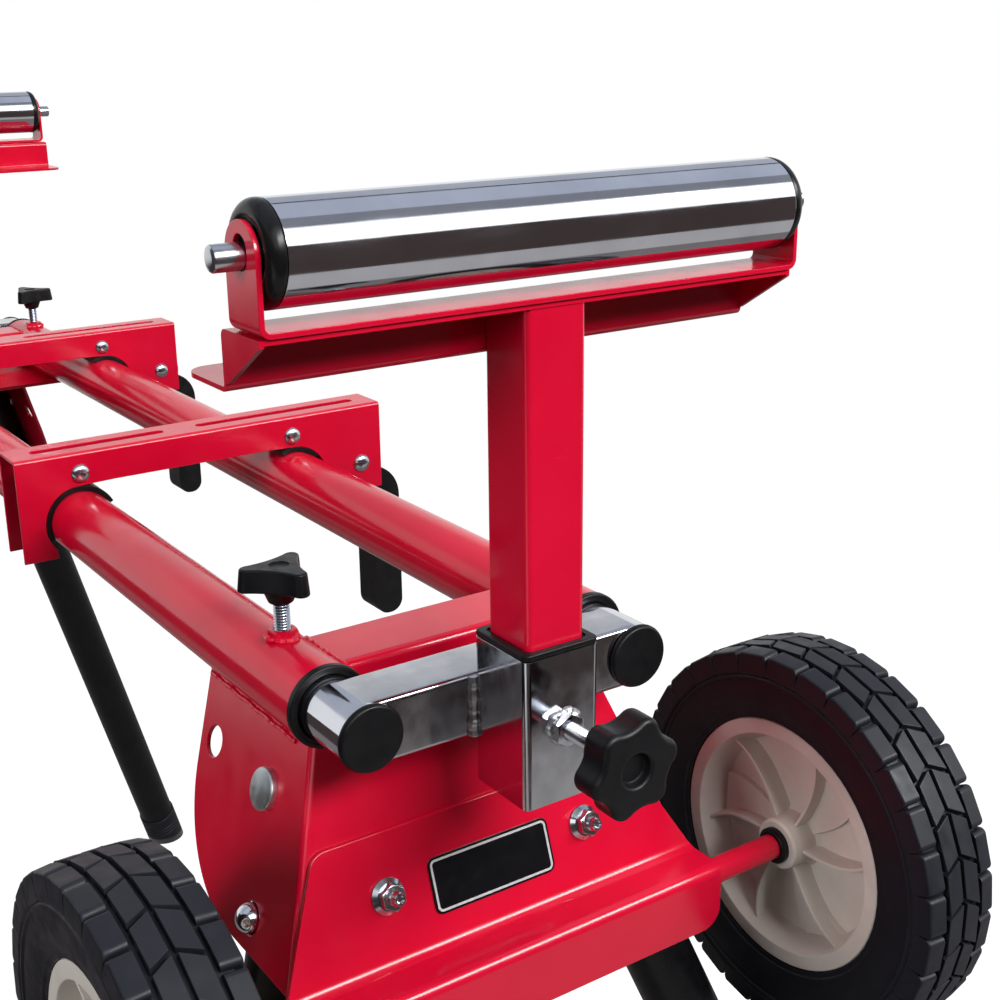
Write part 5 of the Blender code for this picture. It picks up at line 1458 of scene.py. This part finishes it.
bolt_shape = master(pivot_bolt())
button_shape = master(lock_button())
plug_shape = master(leg_plug())
for end, placed in ENDS.items():
    bracket = master(leg_bracket(end))
    set_down(bracket, f"{end}_leg_bracket_sheet", placed, "frame", RED, f"{end}_leg_bracket")
    shapes = None
    for hand in HAND_SIDES:
        leg = f"{end}_{hand}"
        set_down(bolt_shape, f"{leg}_pivot_bolt", placed @ plate_frame(end, hand), "frame", DULL_ZINC)
        if end == "wheel_end":
            set_down(master(plate_weld(end, hand)), f"{leg}_plate_weld", placed, "frame", RED)
        standing = leg_frame(end, hand)
        length = standing.translation.z / standing.col[2].z
        if shapes is None:
            shapes = master(leg_tube(length)), master(leg_foot(length))
        tube_shape, foot_shape = shapes
        leg_body = f"{leg}_leg_body"
        set_down(tube_shape, f"{leg}_leg_tube", standing, leg_body, PAINT, f"{leg}_leg")
        set_down(plug_shape, f"{leg}_leg_plug", standing, leg_body, PLASTIC)
        cut_level(set_down(foot_shape, f"{leg}_rubber_foot", standing, leg_body, RUBBER, f"{leg}_foot"))
        set_down(button_shape, f"{leg}_button", standing, f"{leg}_leg_button", BUTTON_CHROME,
                 f"{leg}_lock_button")


# Wheel bracket, axle and wheels

def wheel_bracket():
    """Plate on the front panel, a ledge out over the axle and a lip turned down in front of it."""
    top = -WHEEL_BRACKET_TOP
    off = FRAME_GAP / math.cos(PANEL_SLOPE)
    ledge = -LEDGE_DROP - WHEEL_SHEET
    lip_back = LIP_REACH - WHEEL_SHEET
    lip_bottom = -LEDGE_DROP - LIP_HEIGHT
    folds = [(panel_x(top) + off, top), (panel_x(ledge) + off, ledge), (lip_back, ledge),
             (lip_back, lip_bottom)]
    strip = bent_strip(folds, WHEEL_SHEET, WHEEL_BENDS)
    body = plate("wheel_bracket", strip, "Y", -2 * LEDGE_HALF, 2 * LEDGE_HALF)
    outline = []
    for side in (1, -1):
        width = WHEEL_BRACKET_RIGHT if side > 0 else WHEEL_BRACKET_LEFT
        flare = math.atan2(LEDGE_HALF - width, LEDGE_DROP + top)
        half_top = (side * (width - WHEEL_BRACKET_CORNER), top - WHEEL_BRACKET_CORNER)
        half_lip = (side * (LEDGE_HALF - LIP_CORNER), lip_bottom + LIP_CORNER)
        upper = arc(half_top, WHEEL_BRACKET_CORNER, QUARTER, QUARTER - side * (QUARTER - flare), 12)
        lower = arc(half_lip, LIP_CORNER, QUARTER - side * QUARTER, QUARTER - side * 2 * QUARTER, 12)
        half = upper + [(side * LEDGE_HALF, -LEDGE_DROP)] + lower
        outline += half if side > 0 else half[::-1]
    body = trimmed(body, plate("keep", outline, "X", -LIP_REACH, 2 * LIP_REACH))
    return softened(body, 0.5 * MM)


def on_bracket_face(across, drop):
    """Frame on the outer face of the wheel bracket: Z outwards, X up the slope, Y across."""
    off = (FRAME_GAP + WHEEL_SHEET) / math.cos(PANEL_SLOPE)
    spot = Vector((panel_x(-drop) + off, across, -drop))
    outwards = Vector((math.cos(PANEL_SLOPE), 0, math.sin(PANEL_SLOPE)))
    upwards = Vector((-math.sin(PANEL_SLOPE), 0, math.cos(PANEL_SLOPE)))
    turn = Matrix((upwards, outwards.cross(upwards), outwards)).transposed().to_4x4()
    return Matrix.Translation(spot) @ turn


def flange_nut():
    """Flange nut with the end of its bolt, on the plane Z = 0."""
    radius = FLANGE_NUT_RADIUS
    flange = turned("flange_nut", [(0, 0), (0, radius - 0.4 * MM), (0.5 * MM, radius),
                                   (1.2 * MM, radius - 0.2 * MM), (3.2 * MM, radius - 2.8 * MM),
                                   (3.2 * MM, 0)], "Z")
    nut = hex_nut("flange_hex", FLANGE_NUT_ACROSS, FLANGE_NUT_HEIGHT, 0)
    end = FLANGE_BOLT_END
    bolt = threaded("flange_bolt", "Z", 6 * MM, end - 1.2 * MM, FLANGE_BOLT_RADIUS)
    tip = turned("flange_tip", [(end - 1.6 * MM, 0), (end - 1.6 * MM, 3.8 * MM), (end - 0.6 * MM, 3.7 * MM),
                                (end, 3.2 * MM), (end, 2.5 * MM), (end - 0.8 * MM, 1.6 * MM),
                                (end - 1 * MM, 0)], "Z")
    return gathered(flange, shifted(nut, 0, 0, 2 * MM), bolt, tip)


def name_plate():
    """Bare plate with rounded corners."""
    outline = rounded_rectangle(NAME_PLATE_HEIGHT, NAME_PLATE_WIDTH, NAME_PLATE_CORNER)
    return softened(plate("name_plate", outline, "Z", 0, NAME_PLATE_THICKNESS), 0.25 * MM)


def name_plate_line():
    """Thin raised border line on the plate."""
    outlines = []
    for inset in (NAME_PLATE_INSET, NAME_PLATE_INSET + NAME_PLATE_LINE):
        outlines.append(rounded_rectangle(NAME_PLATE_HEIGHT - 2 * inset, NAME_PLATE_WIDTH - 2 * inset,
                                          NAME_PLATE_CORNER - inset))
    outer, inner = outlines
    face = NAME_PLATE_THICKNESS
    body = plate("name_plate_line", outer, "Z", face - 0.1 * MM, face + 0.15 * MM)
    return cut(body, plate("inside", inner, "Z", 0, 4 * face))


wheel_end = ENDS["wheel_end"]
set_down(master(wheel_bracket()), "wheel_bracket_sheet", wheel_end, "frame", RED, "wheel_bracket")
flange_nut_shape = master(flange_nut())
for number, across in enumerate(FLANGE_NUT_SPOTS, 1):
    nut_spot = wheel_end @ on_bracket_face(across, FLANGE_NUT_DROP)
    set_down(flange_nut_shape, f"bracket_flange_nut_{number}", nut_spot, "frame", ZINC)
plate_spot = wheel_end @ on_bracket_face(NAME_PLATE_ACROSS, NAME_PLATE_DROP)
set_down(master(name_plate()), "bare_name_plate", plate_spot, "frame", LABEL)
set_down(master(name_plate_line()), "bare_name_plate_border", plate_spot, "frame", SILVER)


def axle_pin():
    """Axle rod with a domed cap nut at each end."""
    nut_in = WHEEL_Y + BOSS_HALF + FRAME_GAP
    body = rod("axle_pin", "Y", -nut_in - 4 * MM, nut_in + 4 * MM, AXLE_RADIUS)
    base = AXLE_NUT_HEIGHT * 0.5
    nuts = []
    for side in (-1, 1):
        nut = hex_nut("cap_nut", AXLE_NUT_ACROSS, AXLE_NUT_HEIGHT * 0.55, 0)
        profile = [(base, 0), (base, AXLE_NUT_DOME)]
        profile += dome(base, AXLE_NUT_HEIGHT - base, AXLE_NUT_DOME, 10, 0.1)
        nut = gathered(nut, turned("dome", profile, "Z"))
        spot = Matrix.Translation((0, side * nut_in, 0)) @ Matrix.Rotation(-side * QUARTER, 4, "X")
        nuts.append(moved(nut, spot))
    return gathered(body, *nuts)


def flange_bush():
    """Black bush at the end of the axle sleeve, against the wheel's boss, on the +Y side."""
    start = SLEEVE_HALF + FRAME_GAP
    end = start + FLANGE_BUSH_WIDTH
    radius = FLANGE_BUSH_RADIUS
    neck = FLANGE_BUSH_NECK
    bore = AXLE_RADIUS + 0.1 * MM
    return turned("flange_bush", [(start, bore), (start, neck - 0.4 * MM), (start + 0.6 * MM, neck),
                                  (start + 0.6 * MM, radius - 0.8 * MM), (start + 1.2 * MM, radius),
                                  (end, radius), (end, bore)], "Y", ring=True)


def hub():
    """Moulded wheel: boss, web, sloped barrel and flat lip, with swept ribs and panels in the dish."""
    bore = AXLE_RADIUS + FRAME_GAP
    seat = RIM_RADIUS - RIM_STEP
    lip = RIM_RADIUS - RIM_LIP
    half = [(BOSS_HALF, bore), (BOSS_HALF, BOSS_RADIUS - BOSS_EDGE), (BOSS_HALF - BOSS_EDGE, BOSS_RADIUS),
            (WEB_HALF + 3 * MM, BOSS_RADIUS + 1.2 * MM), (WEB_HALF, BOSS_RADIUS + 4 * MM),
            (WEB_HALF, WEB_RADIUS - 3 * MM), (WEB_HALF + 0.8 * MM, WEB_RADIUS - 0.9 * MM),
            (WEB_HALF + 3 * MM, WEB_RADIUS), (RIM_HALF - 1.6 * MM, lip - 0.6 * MM),
            (RIM_HALF - 0.5 * MM, lip), (RIM_HALF, lip + 1.2 * MM), (RIM_HALF, RIM_RADIUS - 1.6 * MM),
            (RIM_HALF - 0.6 * MM, RIM_RADIUS - 0.5 * MM), (RIM_HALF - 1.6 * MM, RIM_RADIUS),
            (RIM_HALF - RIM_FLANGE + 1 * MM, RIM_RADIUS - 1 * MM), (RIM_HALF - RIM_FLANGE, seat)]
    body = turned("hub", half + mirror_image(half), "Y", FINE_ROUND, ring=True)
    depth = RIM_HALF - RIB_SETBACK

    def swept_line(start, aside, reach):
        line = []
        for step in range(13):
            share = step / 12
            radius = BOSS_RADIUS - MM + share * (reach - BOSS_RADIUS + MM)
            angle = start + RIB_SWEEP * share ** 2 + aside / radius
            line.append((radius * math.cos(angle), radius * math.sin(angle)))
        return line

    tip = WEB_RADIUS + 5 * MM
    outline = swept_line(0, -RIB_THICKNESS / 2, tip) + swept_line(0, RIB_THICKNESS / 2, tip)[::-1]
    rib = softened(plate("rib", outline, "Y", -depth, depth), 0.7 * MM)
    spacing = 2 * math.pi / RIB_COUNT
    foot = WEB_RADIUS - 1 * MM
    outline = swept_line(spacing / 2, 0, foot) + swept_line(spacing, 0, foot)[::-1]
    panel = softened(plate("panel", outline, "Y", -WEB_HALF - PANEL_RISE, WEB_HALF + PANEL_RISE), 0.6 * MM)
    return gathered(body, ring_of(rib, RIB_COUNT, "Y"), ring_of(panel, RIB_COUNT // 2, "Y"))


def tyre():
    """Tyre casing with raised rings, two rows of slanted blocks and lugs down both shoulders."""
    seat = RIM_RADIUS - RIM_STEP + FRAME_GAP
    base = TYRE_RADIUS - TREAD_DEPTH
    bead_half = RIM_HALF - RIM_FLANGE - 2 * FRAME_GAP
    lug_foot = TYRE_RADIUS - TREAD_CROWN - LUG_LENGTH
    half = [(0, base), (TREAD_HALF * 0.6, base - 0.6 * MM), (TREAD_HALF - 5 * MM, base - 2 * MM),
            (TREAD_HALF - 2.6 * MM, base - 4.6 * MM), (TYRE_HALF - 2.4 * MM, lug_foot + 3 * MM),
            (TYRE_HALF - 1.4 * MM, lug_foot), (TYRE_HALF - 0.4 * MM, lug_foot - 0.8 * MM),
            (TYRE_HALF - 0.4 * MM, lug_foot - 2.2 * MM), (TYRE_HALF - 1.4 * MM, lug_foot - 3 * MM),
            (TYRE_HALF - 1.2 * MM, lug_foot - 9 * MM), (RIM_HALF + 3 * MM, RIM_RADIUS + 12 * MM),
            (RIM_HALF + 1.4 * MM, RIM_RADIUS + 6 * MM), (RIM_HALF + 1.4 * MM, RIM_RADIUS + 4.4 * MM),
            (RIM_HALF + 0.4 * MM, RIM_RADIUS + 3.6 * MM), (RIM_HALF, RIM_RADIUS + 0.6 * MM),
            (RIM_HALF - 1.6 * MM, RIM_RADIUS + 0.3 * MM), (bead_half + 1.2 * MM, RIM_RADIUS - 0.6 * MM),
            (bead_half, seat)]
    casing = turned("tyre", mirror_image(half[1:]) + half, "Y", 2 * TREAD_LUGS, ring=True)
    pitch = 2 * math.pi * TYRE_RADIUS / TREAD_LUGS
    half_pitch = Matrix.Rotation(math.pi / TREAD_LUGS, 4, "Y")
    block_half = (pitch - TREAD_GROOVE) / 2
    lug_half = (pitch - LUG_GAP) / 2
    blocks = []
    shoulder = TYRE_RADIUS - TREAD_CROWN

    def at_lug_corner(first, second):
        return abs(first.x - second.x) < MERGE and min(first.z, second.z) > shoulder - MM

    for side in (-1, 1):
        near = side * TREAD_GROOVE / 2
        far = side * (LUG_INNER - TREAD_GROOVE)
        outline = [(-block_half - BLOCK_SKEW, near), (block_half - BLOCK_SKEW, near),
                   (block_half + BLOCK_SKEW, far), (-block_half + BLOCK_SKEW, far)]
        block = softened(plate("block", outline, "Z", base - 2 * MM, TYRE_RADIUS - 0.35 * MM), 0.6 * MM)
        blocks.append(moved(ring_of(block, TREAD_LUGS, "Y"), half_pitch))
        section = [(side * LUG_INNER, base - 3 * MM), (side * LUG_INNER, TYRE_RADIUS - 0.7 * MM),
                   (side * (TREAD_HALF - 1.2 * MM), shoulder), (side * TREAD_HALF, shoulder - 0.8 * MM),
                   (side * (TYRE_HALF - 0.1 * MM), lug_foot + 1.6 * MM),
                   (side * (TYRE_HALF - 1.6 * MM), lug_foot - 0.2 * MM), (side * 20 * MM, lug_foot)]
        lug = plate("lug", section, "X", -lug_half, lug_half)
        lug = softened(rounded_edges(lug, at_lug_corner, LUG_CORNER, 6), 0.6 * MM)
        blocks.append(ring_of(lug, TREAD_LUGS, "Y"))
    return gathered(casing, *blocks)


axle_spot = wheel_end @ Matrix.Translation((AXLE.x, 0, AXLE.z))
sleeve = tube("axle_sleeve_tube", "Y", -SLEEVE_HALF, SLEEVE_HALF, SLEEVE_RADIUS, AXLE_RADIUS + FRAME_GAP)
sleeve_shape = master(softened(sleeve, 0.4 * MM))
set_down(sleeve_shape, "axle_sleeve_pipe", axle_spot, "frame", RED, "axle_sleeve")
set_down(master(axle_pin()), "axle_pin_and_nuts", axle_spot, "frame", ZINC, "axle")
bush_shape = master(flange_bush())
set_down(bush_shape, "right_flange_bush", axle_spot, "frame", PLASTIC, "axle")
set_down(bush_shape, "left_flange_bush", axle_spot @ MIRROR_Y, "frame", PLASTIC, "axle")
hub_shape = master(hub())
tyre_shape = master(tyre())
for hand, side in HAND_SIDES.items():
    wheel_spot = axle_spot @ Matrix.Translation((0, side * WHEEL_Y, 0))
    set_down(hub_shape, f"{hand}_wheel_hub", wheel_spot, f"{hand}_wheel", BEIGE, f"{hand}_hub")
    set_down(tyre_shape, f"{hand}_wheel_tyre", wheel_spot, f"{hand}_wheel", RUBBER, f"{hand}_tyre")


# Saw brackets, modelled about the middle of the rails: Y across, the lever at +Y

def saw_channel():
    """Inverted channel over both rails, with slots on top, a fixed jaw and a lever end."""
    jaw_end = -HALF_SPACING - SADDLE_RADIUS - CHANNEL_JAW_REACH
    right = (HALF_SPACING, 0)
    left = (-HALF_SPACING, 0)
    jaw_tip = left[0] + SADDLE_RADIUS * math.cos(CHANNEL_JAW_ANGLE)
    outline = [(jaw_end, CHANNEL_TOP), (jaw_end, -CHANNEL_JAW_DROP), (jaw_tip + MM, -CHANNEL_JAW_DROP)]
    outline += arc(left, SADDLE_RADIUS, CHANNEL_JAW_ANGLE, QUARTER, 24)
    outline += [(left[0] + SADDLE_RADIUS, CHANNEL_WAIST), (right[0] - SADDLE_RADIUS, CHANNEL_WAIST)]
    outline += arc(right, SADDLE_RADIUS, QUARTER, CHANNEL_LEVER_ANGLE, 16)
    outline += [(right[0] + SADDLE_RADIUS, -CHANNEL_LEVER_DROP), (CHANNEL_LEVER_END, -CHANNEL_LEVER_DROP),
                (CHANNEL_LEVER_END, CHANNEL_TOP)]
    body = plate("saw_channel", outline, "X", -CHANNEL_HALF, CHANNEL_HALF)

    def is_ridge(first, second):
        level = min(first.z, second.z) > CHANNEL_TOP - MERGE
        return level and abs(first.x - second.x) < MERGE

    body = rounded_edges(body, is_ridge, CHANNEL_BEND, 6)
    inside = CHANNEL_HALF - CHANNEL_SHEET
    outline = rectangle(-inside, -THROUGH, inside, CHANNEL_TOP - CHANNEL_SHEET)
    hollow = plate("hollow", outline, "Y", -THROUGH, THROUGH)
    slots = []
    for side in (-1, 1):
        reach = SLOT_OUTER if side > 0 else -jaw_end - SLOT_WIDTH * 2
        slot = rounded_rectangle(SLOT_WIDTH, reach - SLOT_INNER, SLOT_WIDTH / 2 - 0.1 * MM,
                                 (0, side * (reach + SLOT_INNER) / 2))
        slots.append(plate("slot", slot, "Z", CHANNEL_WAIST, 2 * CHANNEL_TOP))
    return softened(cut(body, hollow, *slots), 0.45 * MM)


def domed_rivet(name, radius, height, shank):
    """Rivet through both walls of the channel, along X, with a domed head on each side."""
    seat = CHANNEL_HALF - FRAME_GAP
    head = [(seat, shank), (seat, radius)] + dome(CHANNEL_HALF, height, radius, 8)
    return turned(name, mirror_image(head) + head, "X", SMALL_ROUND)


def saddle_pad(hand):
    """Curved plastic pad between the channel and a rail; the jaw side wraps further round."""
    start, end = PAD_ARCS[hand]
    centre = (HAND_SIDES[hand] * HALF_SPACING, 0)
    outline = arc(centre, SADDLE_RADIUS - FRAME_GAP, start, end, 32)
    outline += arc(centre, RAIL_RADIUS + FRAME_GAP, end, start, 32)
    half = CHANNEL_HALF - FRAME_GAP
    return softened(plate("saddle_pad", outline, "X", -half, half), 0.6 * MM)


def clamp_lever():
    """Cam lever about its pin: the cam bears on the rail, the arm hangs outside the channel's end."""
    to_rail = Vector((HALF_SPACING - LEVER_PIVOT.y, -LEVER_PIVOT.z))
    reach = to_rail.length - RAIL_RADIUS - FRAME_GAP
    offset = to_rail.normalized() * (reach - CAM_RADIUS)
    cam = shifted(rod("cam", "X", -LEVER_HALF, LEVER_HALF, CAM_RADIUS, ROUND), 0, offset.x, offset.y)
    inner = LEVER_ARM_INNER
    outer = inner + LEVER_ARM_THICKNESS
    low = LEVER_TIP - LEVER_ARM_LENGTH
    outline = arc((inner + LEVER_TIP, low), LEVER_TIP, 2 * QUARTER, 3 * QUARTER)
    outline += arc((outer - LEVER_TIP, low), LEVER_TIP, 3 * QUARTER, 4 * QUARTER)
    outline += arc((outer - LEVER_SHOULDER, -LEVER_SHOULDER_DROP), LEVER_SHOULDER, 0, QUARTER, 12)
    outline.append((inner, -LEVER_SHOULDER_DROP))
    arm = plate("arm", outline, "X", -LEVER_HALF + MM, LEVER_HALF - MM)
    bore = rod("bore", "X", -2 * LEVER_HALF, 2 * LEVER_HALF, LEVER_PIN_RADIUS + LEVER_PIN_GAP)
    return softened(cut(joined(cam, arm), bore), 1.6 * MM, 3)


channel_shape = master(saw_channel())
pin_shape = master(domed_rivet("lever_pin", LEVER_PIN_HEAD, LEVER_PIN_HEIGHT, LEVER_PIN_RADIUS))
rivet_shape = master(domed_rivet("pad_rivet", RIVET_HEAD, RIVET_HEIGHT, RIVET_RADIUS))
pad_shapes = {hand: master(saddle_pad(hand)) for hand in HAND_SIDES}
lever_shape = master(clamp_lever())
for end in ENDS:
    pivot = joint_spot(f"{end}_lever_swing")
    slide = Matrix.Translation((pivot.x, 0, RAIL_Z))
    clamp_body = f"{end}_saw_clamp"
    pin_spot = Matrix.Translation(pivot)
    set_down(channel_shape, f"{end}_saw_channel", slide, clamp_body, RED, f"{end}_saw_bracket")
    set_down(pin_shape, f"{end}_lever_pin", pin_spot, clamp_body, ZINC, f"{end}_saw_bracket")
    for hand, side in HAND_SIDES.items():
        pad_node = f"{end}_{hand}_saddle_pad"
        set_down(pad_shapes[hand], f"{end}_{hand}_pad", slide, clamp_body, PLASTIC, pad_node)
        rivet_spot = slide @ Matrix.Translation((0, side * RIVET_OUT, RIVET_UP))
        set_down(rivet_shape, f"{end}_{hand}_pad_rivet", rivet_spot, clamp_body, ZINC)
    set_down(lever_shape, f"{end}_cam_lever", pin_spot, f"{end}_lever", PLASTIC, f"{end}_clamp_lever")

for shape in MASTERS:
    bpy.data.objects.remove(shape)


# Floor, light and camera

FLOOR_SIZE = 30
FLOOR_DROP = 0.5 * MM
FLOOR_FADE = (1.3, 3)
CARD_LIFT = 0.01
CARD_CEILING = 4.4
AMBIENT = 0.02


def floor_finish():
    """Pale floor: white far away, shadowed by the object, giving only a little light back to it."""
    material = plain_finish("pale_floor", Roughness=0.9)
    tree = material.node_tree
    shader = tree.nodes["Principled BSDF"]
    path = tree.nodes.new("ShaderNodeLightPath")
    shade = tree.nodes.new("ShaderNodeMix")
    shade.data_type = "RGBA"
    shade.inputs["A"].default_value = (0.9, 0.9, 0.9, 1)
    shade.inputs["B"].default_value = (0.06, 0.06, 0.06, 1)
    tree.links.new(path.outputs["Is Diffuse Ray"], shade.inputs["Factor"])
    tree.links.new(shade.outputs["Result"], shader.inputs["Base Color"])
    glow = tree.nodes.new("ShaderNodeEmission")
    mix = tree.nodes.new("ShaderNodeMixShader")
    spot = tree.nodes.new("ShaderNodeTexCoord").outputs["Object"]
    reach = tree.nodes.new("ShaderNodeVectorMath")
    reach.operation = "LENGTH"
    tree.links.new(spot, reach.inputs[0])
    far_share = spread(material, reach.outputs["Value"], 0.8, 1, *FLOOR_FADE)
    far_level = spread(material, reach.outputs["Value"], 1.16, 1, *FLOOR_FADE)
    tree.links.new(far_level, glow.inputs["Strength"])
    seen = worked_out(material, "MAXIMUM", path.outputs["Is Camera Ray"], path.outputs["Is Glossy Ray"])
    share = worked_out(material, "MULTIPLY", seen, far_share)
    tree.links.new(share, mix.inputs["Fac"])
    tree.links.new(shader.outputs["BSDF"], mix.inputs[1])
    tree.links.new(glow.outputs["Emission"], mix.inputs[2])
    tree.links.new(mix.outputs["Shader"], tree.nodes["Material Output"].inputs["Surface"])
    return material


def white_world(ambient):
    """White for the camera, metal and glass; a soft level for the light on the object."""
    world = bpy.data.worlds.new("white_studio")
    bpy.context.scene.world = world
    world.use_nodes = True
    tree = world.node_tree
    back = tree.nodes["Background"]
    back.inputs["Color"].default_value = (1, 1, 1, 1)
    path = tree.nodes.new("ShaderNodeLightPath")
    total = path.outputs["Is Camera Ray"]
    for ray in ("Is Glossy Ray", "Is Transmission Ray"):
        total = worked_out(world, "MAXIMUM", total, path.outputs[ray])
    tree.links.new(spread(world, total, ambient, 1, 0, 1), back.inputs["Strength"])


def soft_box(name, place, target, size, power, seen):
    """Lamp on the object; where it isn't seen in gloss, the cards are seen instead."""
    bpy.ops.object.light_add(type="AREA", location=place)
    lamp = bpy.context.active_object
    lamp.name = name
    lamp.data.shape = "RECTANGLE"
    lamp.data.size = size[0]
    lamp.data.size_y = size[1]
    lamp.data.energy = power
    lamp.rotation_euler = (Vector(target) - Vector(place)).to_track_quat("-Z", "Y").to_euler()
    lamp.visible_glossy = seen
    return lamp


def card(name, low, high, colour):
    """Flat studio card between two corners, of one even colour, that only metal and gloss see."""
    low = Vector(low)
    high = Vector(high)
    size = high - low
    bpy.ops.mesh.primitive_plane_add(size=1)
    made = bpy.context.active_object
    made.name = name
    thin = min(range(3), key=lambda index: size[index])
    if thin == 0:
        moved(made, Matrix.Rotation(QUARTER, 4, "Y"))
    elif thin == 1:
        moved(made, Matrix.Rotation(QUARTER, 4, "X"))
    stretch = Matrix.Diagonal((*[max(length, MM) for length in size], 1))
    moved(made, Matrix.Translation((low + high) / 2) @ stretch)
    material = bpy.data.materials.new(name)
    material.use_nodes = True
    tree = material.node_tree
    glow = tree.nodes.new("ShaderNodeEmission")
    glow.inputs["Color"].default_value = (*colour, 1)
    tree.links.new(glow.outputs["Emission"], tree.nodes["Material Output"].inputs["Surface"])
    made.data.materials.append(material)
    made.visible_camera = False
    made.visible_diffuse = False
    made.visible_shadow = False
    return made


bpy.ops.object.select_all(action="DESELECT")
bpy.ops.mesh.primitive_plane_add(size=FLOOR_SIZE, location=(0, 0, -FLOOR_DROP))
floor = bpy.context.active_object
floor.name = "floor"
floor.data.materials.append(floor_finish())
white_world(AMBIENT)
WHEEL_END_MIDDLE = (WHEEL_END_X, 0, RAIL_Z)
soft_box("key_box", (3.1, 1.0, 2.85), WHEEL_END_MIDDLE, (3.2, 0.9), 172, True)
soft_box("fill_box", (0.9, -3.4, 2.0), WHEEL_END_MIDDLE, (1.6, 1.6), 70, False)
soft_box("top_box", (-0.1, 0.6, 4.3), (-0.1, 0.6, 0), (3.0, 2.4), 56, False)
DARK_ROOM = (0.068, 0.05, 0.048)
cards = [
    card("near_floor_card", (0.95, -1.5, CARD_LIFT), (1.95, 6, CARD_LIFT), (0.5, 0.48, 0.48)),
    card("under_floor_card", (-2.5, -0.8, CARD_LIFT), (0.95, 4, CARD_LIFT), (0.22, 0.2, 0.2)),
    card("front_floor_card", (1.95, -6, CARD_LIFT), (6, 8, CARD_LIFT), DARK_ROOM),
    card("front_wall_card", (6, -6, 0), (6, 8, 3), DARK_ROOM),
    card("bright_wall_card", (4.2, -4, 2.32), (4.2, 9, 6), (1.8, 1.8, 1.8)),
    card("side_floor_card", (-5, -6, CARD_LIFT), (0.95, -0.8, CARD_LIFT), DARK_ROOM),
    card("side_wall_card", (-6, -6, 0), (6, -6, 4), (0.07, 0.065, 0.07)),
    card("ceiling_front_card", (1.35, -6, CARD_CEILING), (2.86, 8, CARD_CEILING), (0.28, 0.29, 0.33)),
    card("ceiling_middle_card", (-1.3, -6, CARD_CEILING), (1.35, 8, CARD_CEILING), (0.55, 0.59, 0.7)),
    card("ceiling_gap_card", (-1.6, -6, CARD_CEILING), (-1.3, 8, CARD_CEILING), (0.06, 0.06, 0.07)),
    card("ceiling_back_card", (-6, -6, CARD_CEILING), (-1.6, 8, CARD_CEILING), (0.5, 0.53, 0.6)),
]

CAMERA_OFFSET = Vector((668.2, -432.5, 361.0)) * MM
CAMERA_YAW = math.radians(145.64)
CAMERA_PITCH = math.radians(-17.88)
CAMERA_ROLL = math.radians(-0.63)
CAMERA_LENS = 52.65
CAMERA_SENSOR = 36


def photo_camera():
    level = math.cos(CAMERA_PITCH)
    forward = Vector((level * math.cos(CAMERA_YAW), level * math.sin(CAMERA_YAW), math.sin(CAMERA_PITCH)))
    level_right = forward.cross(Vector((0, 0, 1))).normalized()
    level_up = level_right.cross(forward)
    right = level_right * math.cos(CAMERA_ROLL) + level_up * math.sin(CAMERA_ROLL)
    up = level_up * math.cos(CAMERA_ROLL) - level_right * math.sin(CAMERA_ROLL)
    bpy.ops.object.camera_add()
    camera = bpy.context.active_object
    camera.name = "photo_camera"
    camera.data.lens = CAMERA_LENS
    camera.data.sensor_width = CAMERA_SENSOR
    turn = Matrix((right, up, -forward)).transposed().to_4x4()
    camera.matrix_world = Matrix.Translation(Vector(WHEEL_END_MIDDLE) + CAMERA_OFFSET) @ turn
    return camera


bpy.context.scene.camera = photo_camera()
bpy.context.scene.view_settings.view_transform = "Standard"


def visual_box():
    low = Vector((math.inf, math.inf, math.inf))
    high = -low
    for piece in bpy.data.objects:
        if piece.type == "MESH" and piece.parent and not piece.hide_render:
            for vert in piece.data.vertices:
                for index in range(3):
                    low[index] = min(low[index], vert.co[index])
                    high[index] = max(high[index], vert.co[index])
    return list(low), list(high)


sizes = {"cad_box": [list(corner) for corner in CAD_BOX], "visual_box": list(visual_box())}
